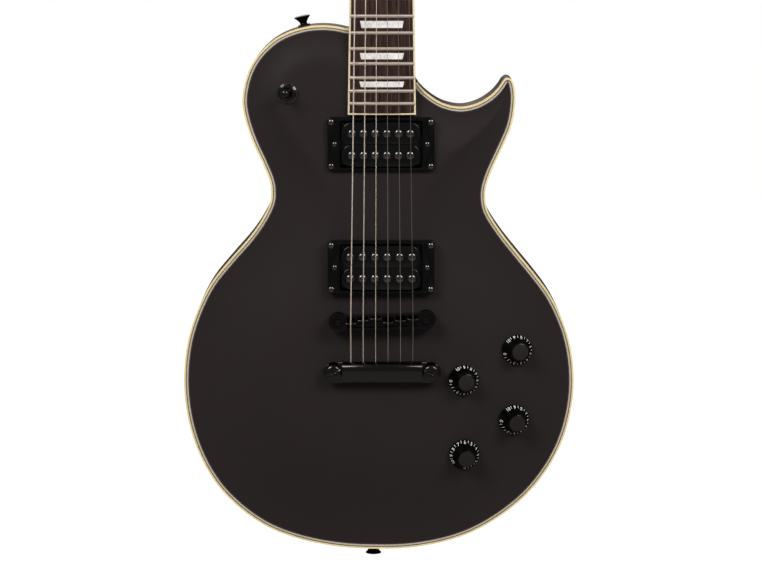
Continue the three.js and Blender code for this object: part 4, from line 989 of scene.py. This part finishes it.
def string_tree():
    """Geometry nodes: a round wire along a line."""
    tree, given, result = geometry_tree("string", (
        ("Line", "Geometry"), ("Radius", "Float"), ("Sides", "Int"), ("Material", "Material"),
    ), "String")
    path = tree.nodes.new("GeometryNodeMeshToCurve")
    section = tree.nodes.new("GeometryNodeCurvePrimitiveCircle")
    sweep = tree.nodes.new("GeometryNodeCurveToMesh")
    sweep.inputs["Fill Caps"].default_value = True
    join(tree, (given["Line"], path.inputs["Mesh"]), (given["Radius"], section.inputs["Radius"]),
         (given["Sides"], section.inputs["Resolution"]), (path.outputs[0], sweep.inputs["Curve"]),
         (section.outputs[0], sweep.inputs["Profile Curve"]))
    return end_tree(tree, sweep.outputs[0], given["Material"], result)


STRING_TREE = string_tree()
for i, s in enumerate(strings):
    radius, saddle = STRING_RADII[i], saddle_points[i]
    nut_x, nut_z = across(NUT_SPREAD, i), 7.0 + radius
    post = to_head.inverted() @ NECK_PLACE.inverted() @ tuner_places[s].translation
    way = 1 if i < 3 else -1
    reach = 3 + radius + 0.3
    leave = to_head.inverted() @ Vector((nut_x, NUT_Y + 5, nut_z))
    first = math.atan2(leave.y - post.y, leave.x - post.x) + way * math.acos(reach / math.hypot(
        leave.x - post.x, leave.y - post.y))
    path = [Vector((saddle.x, tail_low.y + 3, HOLE_HEIGHT)),
            Vector((saddle.x, tail_high.y + 1, HOLE_HEIGHT)),
            saddle + Vector((0, -2.2, -1.1)), saddle + Vector((0, -1.0, -0.25)), saddle,
            NECK_PLACE @ Vector((nut_x, NUT_Y - 0.5, nut_z)),
            NECK_PLACE @ Vector((nut_x, NUT_Y + 5, nut_z - 0.15))]
    pitch = max(2 * radius + 0.15, 0.7)
    for k in range(WINDING_STEPS + 1):
        wound_on = WINDINGS * k / WINDING_STEPS
        angle = first + way * 2 * math.pi * wound_on
        path.append(HEAD_PLACE @ Vector((post.x + reach * math.cos(angle),
                                         post.y + reach * math.sin(angle),
                                         7.6 + pitch * wound_on)))
    wire = line_piece(f"wire_{s}", path)
    metal = wound if i < 3 else plain_steel
    grow(wire, STRING_TREE, radius=radius, sides=10, material=metal)
    settle(wire, metal, "wound_string" if i < 3 else "plain_string", f"string_{s}")
    ball = turned(f"ball_end_{s}", [(0.8, -1.5), (1.9, -1.5), (1.9, 1.5), (0.8, 1.5)],
                  Matrix.Translation((saddle.x, tail_low.y + 3.2, HOLE_HEIGHT)) @ ALONG_X,
                  24, tube=True)
    settle(ball, plain_steel, "plain_string")

# ---------------------------------------------------------------- bridge
# A cast bridge on two threaded posts with thumbwheels. Six saddles slide in its channel, each on
# its own intonation screw, and a wire keeps the screws in.
post_places = [Matrix.Translation(((a.x + b.x) / 2, (a.y + b.y) / 2, 0))
               for a, b in (lying_box(f"bridge_post_{side}") for side in ("bass", "treble"))]
first_post, second_post = (p.translation for p in post_places)
slant = math.atan2(second_post.y - first_post.y, second_post.x - first_post.x)
BRIDGE_TOP = min(p.z for p in saddle_points) - 3.4
BRIDGE_BOTTOM = BRIDGE_TOP - 8.5
BRIDGE_PLACE = (Matrix.Translation((*((first_post + second_post) / 2).xy, BRIDGE_TOP))
                @ Matrix.Rotation(slant, 4, "Z"))
dark_cast = finish("black plated casting", (0.024, 0.021, 0.021), 0.2, metallic=1.0, drift=0.3,
                   unevenness=0.12, scale=110, bump=0.03)

waist = (arc(37, 0, 7.6, -118, 118, 20) + [(31, 6.2), (-31, 6.2)]
         + arc(-37, 0, 7.6, 62, 298, 20) + [(-31, -6.2), (31, -6.2)])
bridge = slab("bridge_casting", waist, -8.4, 0, BRIDGE_PLACE)
cut(bridge, [slab("channel", rectangle(-29.8, -4.6, 29.8, 4.6), -5, 5, BRIDGE_PLACE)]
    + [slab("post_hole", circle(3.5, x, 0, 40), -20, 5, BRIDGE_PLACE) for x in (-37, 37)])
soften(bridge, 0.7, 3)
settle(bridge, dark_cast, "black_chrome", "bridge")

bright_saddle = finish("plated saddle", (0.035, 0.032, 0.03), 0.24, metallic=1.0, drift=0.4, scale=220,
                       bump=0.02)
for i, s in enumerate(strings):
    at = BRIDGE_PLACE.inverted() @ saddle_points[i]
    crest = at.z - STRING_RADII[i] - 0.02
    low_z = -4.9
    section = [(-2.4, low_z), (2.4, low_z), (2.4, -0.6), (0.45, crest - 0.15), (0.0, crest),
               (-0.45, crest - 0.25),
               (-2.4, crest - 2.4)]
    rings = [[(at.x + w, min(4.3, max(-4.3, at.y)) + y, z) for y, z in section] for w in (-4.1, 4.1)]
    saddle = make_piece(f"saddle_{s}", *skin(rings), BRIDGE_PLACE)
    notch = STRING_RADII[i] + 0.06
    cut(saddle, [turned("notch", [(notch, -8), (notch, 8)],
                        BRIDGE_PLACE @ Matrix.Translation(at) @ ALONG_Y, 16)])
    soften(saddle, 0.25, 2)
    settle(saddle, bright_saddle, "black_chrome")
    screw_place = BRIDGE_PLACE @ Matrix.Translation((at.x, 0, -2.6)) @ ALONG_Y
    shank = turned(f"intonation_screw_{s}",
                   [(0.9, -4.4), (0.9, 5.9), (1.75, 6.1), (1.9, 6.9), (1.5, 7.7), (0.5, 7.9)],
                   screw_place, 24)
    cut(shank, [slab("slot", rectangle(-3, -0.3, 3, 0.3), 7.0, 9, screw_place)])
    settle(shank, bright_saddle, "black_chrome")
keeper = line_piece("bridge_keeper_wire", [BRIDGE_PLACE @ Vector(p) for p in
                                           ((-31, 6.2, -3.5), (-31, 6.5, 0.1), (31, 6.5, 0.1),
                                            (31, 6.2, -3.5))])
grow(keeper, STRING_TREE, radius=0.35, sides=10, material=black_chrome)
settle(keeper, black_chrome, "black_chrome")

for side, place in zip(("bass", "treble"), post_places):
    wheel = []
    for k in range(72):                      # knurled edge
        radius = 8.4 if k % 2 else 8.1
        wheel.append((radius * math.cos(2 * math.pi * k / 72), radius * math.sin(2 * math.pi * k / 72)))
    thumbwheel = slab(f"bridge_stem_{side}", wheel, BRIDGE_BOTTOM - 2.9, BRIDGE_BOTTOM - 0.3, place)
    stem = turned("stem", [(3.2, 12), (3.2, BRIDGE_BOTTOM - 2), (2.2, BRIDGE_BOTTOM - 1.5),
                           (2.2, BRIDGE_TOP - 1.6),
                           (3.3, BRIDGE_TOP - 1.5), (3.3, BRIDGE_TOP - 0.5), (2.9, BRIDGE_TOP - 0.1)],
                           place, 40)
    cut(thumbwheel, [stem], "UNION")
    cut(thumbwheel, [slab("slot", rectangle(-4, -0.45, 4, 0.45), BRIDGE_TOP - 0.8, BRIDGE_TOP + 3,
                          place @ Matrix.Rotation(math.radians(35 if side == "bass" else -20), 4,
                                                  "Z"))])
    settle(thumbwheel, black_chrome, "black_chrome", f"bridge_post_{side}")

# ---------------------------------------------------------------- tailpiece
# A crowned bar, cast and plated in black, hooked on two slotted studs that screw into bushings
# in the top. The strings pass through it from behind.
stud_boxes = [lying_box(f"tailpiece_stud_{side}") for side in ("bass", "treble")]
stud_places = [Matrix.Translation(((a.x + b.x) / 2, (a.y + b.y) / 2, 0)) for a, b in stud_boxes]
TAIL_MIDDLE, TAIL_BASE = (tail_low + tail_high) / 2, tail_low.z
TAIL_PLACE = Matrix.Translation((TAIL_MIDDLE.x, TAIL_MIDDLE.y, TAIL_BASE))
h = (tail_high.y - tail_low.y) / 2   # half the bar's width
bar_section = ([(-h + 1, 0), (h - 1, 0), (h - 0.3, 0.6), (h, 2.5), (h - 0.1, 5.2)]
               + [(h - 4.9 + 4.8 * math.cos(math.radians(a)), 5.4 + 5.05 * math.sin(math.radians(a)))
                  for a in range(8, 84, 8)]
               + [(2.6, 10.48), (0.6, 10.35), (-0.4, 10.1), (-6.2, 8.5), (-h + 1.4, 7.9),
                  (-h + 0.5, 7.2), (-h, 6.0), (-h, 1.4),
                  (-h + 0.25, 0.7)])
tail = make_piece("tailpiece_bar", *skin([[(x, y, z) for y, z in bar_section] for x in (-33.6, 33.6)]),
                  TAIL_PLACE)
ears = slab("ears", stretched_round([(tail_low.x - TAIL_MIDDLE.x + h, 0),
                                     (tail_high.x - TAIL_MIDDLE.x - h, 0)], h, 28),
            0.8, 6.6, TAIL_PLACE)
soften(ears, 0.6, 3)
cut(tail, [ears], "UNION")
stud_offset = stud_places[0].translation.y - TAIL_MIDDLE.y
cut(tail, [slab("ear_slot", stretched_round([(p.translation.x - TAIL_MIDDLE.x, 20),
                                              (p.translation.x - TAIL_MIDDLE.x, stud_offset)], 3.9), -5,
                                              20, TAIL_PLACE)
           for p in stud_places])
cut(tail, [turned("string_hole", [(1.3, -20), (1.3, 20)],
                  Matrix.Translation((saddle_points[i].x, TAIL_MIDDLE.y, HOLE_HEIGHT))
                  @ ALONG_Y, 24) for i in range(6)]
    + [turned("ball_well", [(1.95, 0), (1.95, 9)],
              Matrix.Translation((saddle_points[i].x, tail_low.y + 6.4, HOLE_HEIGHT))
              @ ALONG_Y, 24) for i in range(6)])
soften(tail, 0.35, 2, 40)
settle(tail, black_chrome, "black_chrome", "tailpiece")

for side, place, (low, high), way in zip(("bass", "treble"), stud_places, stud_boxes, (30, -25)):
    top = high.z
    stud = turned(f"tail_stud_{side}", [
        (3.45, 26), (3.45, top - 3.9), (6.3, top - 3.85), (6.65, top - 3.5), (6.7, top - 2.0),
        (6.5, top - 1.1),
        (5.6, top - 0.35), (4.0, top - 0.05), (1.0, top)], place)
    cut(stud, [slab("slot", rectangle(-8, -0.75, 8, 0.75), top - 1.5, top + 5,
                    place @ Matrix.Rotation(math.radians(way), 4, "Z"))])
    soften(stud, 0.15, 1)
    settle(stud, black_chrome, "black_chrome", f"tailpiece_stud_{side}")
    sleeve = turned(f"stud_bushing_{side}",
                    [(3.6, 14), (5.6, 14), (5.6, low.z + 23.2), (7.5, low.z + 23.4),
                                             (7.6, low.z + 24.3), (7.2, low.z + 24.9),
                                             (3.6, low.z + 24.9)], place, tube=True)
    settle(sleeve, black_chrome, "black_chrome")

# ---------------------------------------------------------------- pickups
# Each has two moulded black bobbins on a plated baseplate, with six domed pole screws a side. It
# hangs on two sprung screws in a ring that four small screws hold to the top.
satin_plastic = finish("moulded black plastic", (0.0012, 0.001, 0.001), 0.22, drift=0.3, shine=0.2,
                       unevenness=0.12,
                       scale=80, bump=0.03)
pole_head = turned("pole_pattern", [(3.7, -1.0), (3.7, 0.2), (3.5, 0.6), (3.0, 1.05), (2.2, 1.4),
                                    (1.1, 1.58), (0.3, 1.62)],
                   sides=28)
POLE = loose(pole_head)
pole_steel = finish("dark nickel pole", (0.12, 0.105, 0.10), 0.14, metallic=1.0, drift=0.3, scale=150)
bobbin_edge = finish("polished bobbin edge", (0.0012, 0.001, 0.001), 0.12, drift=0.2, shine=0.35,
                     scale=120, bump=0.01)
RING_SCREWS = [(x, y) for x in (-41.9, 41.9) for y in (-18.6, 18.6)]
LIFT_X = 77.9 / 2                    # the height screws, to each side of the middle
for pickup, pole_spread in (("neck", 49.0), ("bridge", 52.0)):
    low, high = lying_box(f"{pickup}_pickup_ring")
    at = Matrix.Translation(((low.x + high.x) / 2, (low.y + high.y) / 2, 0))
    top = high.z
    ring = slab(f"{pickup}_ring", rounded_rectangle(89.8, 45, 3.2), FRONT, top, at)
    slope = Matrix.Rotation(-math.atan(FLAT_FALL), 4, "X")
    flat = FRONT + CARVE_RISE - FLAT_FALL * max(0, at.translation.y - BRIDGE_Y)
    seat = slab("seat", rounded_rectangle(130, 130, 2), -40, 0.05,
                at @ Matrix.Translation((0, 0, flat)) @ slope)
    soften(ring, 1.1, 4)
    cut(ring, [seat, slab("opening", rounded_rectangle(69, 39.6, 1.6), 0, 90, at),
               slab("lift_hole", circle(2.4, -LIFT_X, 0, 32), 0, 90, at),
               slab("lift_hole", circle(2.4, LIFT_X, 0, 32), 0, 90, at)]
        + [slab("sink", circle(2.75, x, y, 28), top - 0.6, 90, at) for x, y in RING_SCREWS])
    soften(ring, 0.25, 2, 40)
    settle(ring, satin_plastic, "black_plastic", f"{pickup}_pickup_ring")
    screws(f"{pickup}_ring_screws", [(x, y, top - 0.55) for x, y in RING_SCREWS], at, 2.6,
           "black_chrome", material=pole_steel)

    body_name = f"{pickup}_pickup"
    coil_low, coil_high = lying_box(f"{pickup}_pickup_coils")
    coil_top = coil_high.z - 0.9
    half_width = 37.8 / 4            # of one bobbin
    coils = slab(f"{pickup}_coils", rounded_rectangle(63, 34, 1), coil_low.z, coil_top - 2.2, at)
    flanges = []
    for y in (-half_width + 0.08, half_width - 0.08):
        run = 67 / 2 - half_width
        flange = slab("flange", stretched_round([(-run, y), (run, y)], half_width - 0.2, 24),
                      coil_top - 2.4, coil_top, at)
        soften(flange, 0.5, 3)
        base = slab("flange", stretched_round([(-run, y), (run, y)], half_width - 0.4, 24), coil_low.z,
                    coil_low.z + 1.5, at)
        flanges += [flange, base]
    cut(coils, flanges, "UNION")
    cut(coils, [slab("bobbin_hole", circle(1.6, x, y, 20), coil_top - 0.8, 90, at)
                for x in (-29.6, 29.6) for y in (-half_width, half_width)])
    settle(coils, bobbin_edge, "black_plastic", f"{pickup}_pickup_coils", body=body_name)
    points = [(across(pole_spread, i), y, coil_top - 0.72) for i in range(6) for y in (-9.15, 9.15)]
    screws(f"{pickup}_poles", points, at, 1.0, "black_chrome", body=body_name, pattern=POLE, turn=0.0,
           material=pole_steel)
    screws(f"{pickup}_height_screws", [(x, 0, top - 0.5) for x in (-LIFT_X, LIFT_X)], at, 2.2,
           "black_chrome", body=body_name, material=pole_steel)
    spring_low, spring_high, spring_turn = coil_low.z - 7.4, FRONT + CARVE_RISE - 4.2, 14 * math.pi
    for x, side in ((-LIFT_X, "bass"), (LIFT_X, "treble")):
        spring = line_piece(f"{pickup}_height_spring_{side}", [
            at @ Vector((x + 2.2 * math.cos(t), 2.2 * math.sin(t),
                         spring_low + (spring_high - spring_low) * t / spring_turn))
            for t in np.linspace(0, spring_turn, 150)])
        grow(spring, STRING_TREE, radius=0.3, sides=6, material=black_chrome)
        settle(spring, black_chrome, "black_chrome", body=body_name)
    repaint(f"{pickup}_pickup_baseplate", dark_cast)

# ---------------------------------------------------------------- controls
# Four black plastic knobs with numbered skirts, pushed on the splined shafts of their pots.
knob_skirt = finish("glossy black knob", (0.0012, 0.0011, 0.0011), 0.16, drift=0.3, unevenness=0.1,
                    shine=0.25, scale=90, bump=0.01)
knob_cap = finish("matt knob top", (0.0135, 0.0108, 0.0104), 0.5, drift=0.3, unevenness=0.12, shine=0.2,
                  scale=160, bump=0.06)
number_paint = finish("white number paint", (0.78, 0.77, 0.74), 0.5, drift=0.15, scale=300, bump=0.0)
# turn of each knob's numerals, in degrees clockwise, seen from the front
KNOB_TURNS = {"bridge_volume": -75, "neck_volume": -60, "bridge_tone": -60, "neck_tone": -150}
BASE, TOP = 1.6, 17.1
skirt = [(13.0, BASE + 1.4), (9.6, BASE + 6.6)]
slope = math.atan2(skirt[1][1] - skirt[0][1], skirt[0][0] - skirt[1][0])


def on_skirt(x, y):
    """From a drawing with y out from the top edge of the skirt to its place on the cone."""
    along = skirt[1][0] + y * math.cos(slope)
    angle = x / (skirt[1][0] + 2.2)
    return (along * math.sin(angle), along * math.cos(angle), skirt[1][1] - y * math.sin(slope) + 0.045)


def numeral(text, angle):
    """A painted numeral, as points and faces on the skirt."""
    curve = bpy.data.curves.new("numeral", "FONT")
    curve.body = text
    curve.size = 5.4
    curve.align_x = "CENTER"
    curve.offset = 0.05
    letters = add_object("numeral", curve)
    depsgraph = bpy.context.evaluated_depsgraph_get()
    mesh = bpy.data.meshes.new_from_object(letters.evaluated_get(depsgraph))
    turn = Matrix.Rotation(-angle, 3, "Z")
    points = [turn @ Vector(on_skirt(0.72 * v.co.x, 1.5 + v.co.y)) for v in mesh.vertices]
    faces = [tuple(p.vertices) for p in mesh.polygons]
    bpy.data.objects.remove(letters)
    return [tuple(p) for p in points], faces


for name in controls:
    place = control_places[name]
    body_name = f"{name}_knob_turn"
    knob = turned(f"{name}_dial", [
        (2.9, -8.8), (2.9, BASE), (12.6, BASE), (12.95, BASE + 0.4), skirt[0], skirt[1],
        (9.25, BASE + 7.3),
        (8.6, BASE + 8.2), (7.5, TOP - 1.5), (7.3, TOP - 0.8), (7.1, TOP - 0.2), (6.7, TOP)], place, 96)
    settle(knob, knob_skirt, "black_plastic", f"{name}_knob", body=body_name)
    cap = turned(f"{name}_cap", [(6.6, TOP - 0.1), (6.6, TOP), (6.3, TOP + 0.06), (0.5, TOP + 0.06)],
                 place, 64)
    settle(cap, knob_cap, "black_plastic", body=body_name)
    points, faces = [], []
    for number in range(11):
        angle = math.radians(KNOB_TURNS[name] + 30 + number * 30)
        new_points, new_faces = numeral(str(10 - number), angle)
        faces += [tuple(v + len(points) for v in face) for face in new_faces]
        points += new_points
        if number < 10:
            turn = Matrix.Rotation(-angle - math.radians(15), 3, "Z")
            tick = [turn @ Vector(on_skirt(x, y))
                    for x, y in ((-0.2, 2.6), (0.2, 2.6), (0.2, 5.7), (-0.2, 5.7))]
            faces.append(tuple(range(len(points), len(points) + 4)))
            points += [tuple(p) for p in tick]
    mesh = bpy.data.meshes.new(f"{name}_numbers")
    mesh.from_pydata([STAND_UP @ place @ Vector(p) for p in points], [], faces)
    numbers = add_object(f"{name}_numbers", mesh)
    work = bmesh.new()
    work.from_mesh(mesh)
    outwards = (STAND_UP @ place).to_3x3() @ Vector((0, 0, 1))
    bmesh.ops.reverse_faces(work, faces=[f for f in work.faces if f.normal.dot(outwards) < 0])
    work.to_mesh(mesh)
    work.free()
    settle(numbers, number_paint, "black_plastic", body=body_name)
    repaint(f"{name}_pot", nickel)

# ---------------------------------------------------------------- toggle switch
# A three-way switch under the top, held by a knurled nut, with a tapered black tip on its lever.
top_place = switch_place @ Matrix.Translation((0, 0, 4))
collar = turned("switch_nut", [(4.65, -6), (4.65, 4.3), (5.3, 4.4), (5.6, 4.0), (5.6, 2.9), (7.0, 2.9),
                               (7.8, 2.6), (8.4, 2.0),
                               (8.4, 0.7), (5.6, 0.6), (5.6, -6)], top_place, 72, tube=True)
brassy = finish("black nickel with a warm tint", (0.45, 0.32, 0.20), 0.34, metallic=1.0, drift=0.5,
                scale=150, bump=0.03)
settle(collar, brassy, "black_chrome")
repaint("toggle_switch_body", black_chrome)
lever = turned("switch_lever", [
    (1.4, -5.9), (1.45, 8), (2.0, 8.1), (2.5, 8.9), (2.9, 10.5), (3.35, 13), (3.7, 15.5), (3.88, 17.5),
    (3.75, 19.0),
    (3.2, 20.2), (2.3, 20.95), (1.0, 21.35)], top_place, 48)
settle(lever, black_plastic, "black_plastic", "toggle_switch_lever", body="toggle")

# ---------------------------------------------------------------- back covers
# Two black plastic plates let in flush with the back, over the controls and the switch.
covers = (("control_cover", stretched_round(cavity_centres, 22.7), "control_cavity_cover"),
          ("switch_cover", circle(24.7, *switch_centre.xy, 96), "switch_cavity_cover"))
for name, outline, node in covers:
    low, high = lying_box(node)
    cover = slab(name, outline, low.z, high.z)
    soften(cover, 0.4, 2)
    settle(cover, satin_plastic, "black_plastic", node)
behind = Matrix.Rotation(math.pi, 4, "Y")
plate_face = 0.1 - low.z             # just proud of the switch's plate, seen from behind
middle = sum((Vector(p) for p in cavity_centres), Vector((0, 0))) / 4
corner_points = [c + (c - middle).normalized() * 17.5 for c in cavity_centres]
screws("control_cover_screws", [(-x, y, plate_face) for x, y in corner_points], behind, 1.9,
       "black_chrome")
screws("switch_cover_screws", [
    (-switch_centre.x + 20.5 * math.cos(a), switch_centre.y + 20.5 * math.sin(a), plate_face)
    for a in (math.pi / 2, math.pi * 7 / 6, math.pi * 11 / 6)], behind, 1.9, "black_chrome")

# ---------------------------------------------------------------- output jack
# A socket in a square plated plate, sunk in the side of the lower bout and held by four screws.
jack_plate = slab("jack_cover", rounded_rectangle(34, 34, 4.5), 0.3, 1.9, JACK_PLACE)
cut(jack_plate, [slab("hole", circle(5.05), -10, 10, JACK_PLACE)])
soften(jack_plate, 0.45, 3)
settle(jack_plate, black_chrome, "black_chrome", "jack_plate")
screws("jack_screws", [(x, y, 1.85) for x in (-13, 13) for y in (-13, 13)], JACK_PLACE, 1.8,
       "black_chrome")
socket = turned("jack_socket",
                [(3.3, -22), (6.7, -22), (6.7, -2.5), (4.75, -2.5), (4.75, 2.2), (6.0, 2.3), (6.2, 2.5),
                                (6.2, 3.5), (5.4, 4.3), (3.6, 4.4), (3.3, 4.1)], JACK_PLACE, 48,
                                tube=True)
jack_nut = slab("jack_nut", arc(0, 0, 6.4, 0, 300, 5), 2.15, 3.6, JACK_PLACE)
cut(jack_nut, [slab("hole", circle(5.0), -5, 10, JACK_PLACE)])
cut(socket, [jack_nut], "UNION")
soften(socket, 0.2, 1)
settle(socket, nickel, "nickel_steel", "output_jack")

# ---------------------------------------------------------------- strap buttons
# Two waisted black chrome buttons, each screwed to the body over a felt washer.
felt = finish("black felt", (0.015, 0.015, 0.015), 0.95, drift=0.4, scale=900, bump=0.3)
BUTTON_LENGTH = 9.2
end_place = Matrix.Translation((-1000 * MIDDLE_X, BUTTON_LENGTH, 0)) @ ALONG_Y
mount = next(m for m in frame["record"]["mounts"] if m["name"] == "shoulder_strap_button_face")
out = lying(mount["axis"]).normalized()
shoulder_place = (Matrix.Translation(LIE_DOWN @ Vector(mount["pos_m"]))
                  @ out.to_track_quat("Z", "Y").to_matrix().to_4x4()
                  @ Matrix.Translation((0, 0, -BUTTON_LENGTH)))
for name, place, node in (("foot_button", end_place, "end_strap_button"),
                          ("shoulder_button", shoulder_place, "shoulder_strap_button")):
    button = turned(name, [
        (4.9, 0.95), (5.1, 1.1), (5.1, 1.6), (4.6, 1.9), (3.4, 2.1), (2.95, 2.7), (3.05, 3.4),
        (3.9, 4.8), (5.2, 6.4),
        (6.3, 7.5), (6.75, 8.0), (6.75, 8.5), (6.3, 8.9), (5.2, 9.18), (2.6, 9.2), (2.3, 8.4),
        (0.6, 8.1)], place)
    settle(button, black_chrome, "black_chrome", node)
    washer = turned(f"{name}_felt", [(2.5, 0.05), (5.25, 0.05), (5.3, 0.5), (5.2, 0.95), (2.5, 0.95)],
                    place, 40, tube=True)
    settle(washer, felt, "black_plastic")
    screws(f"{name}_screw", [(0, 0, 8.1)], place, 1.75, "black_chrome")
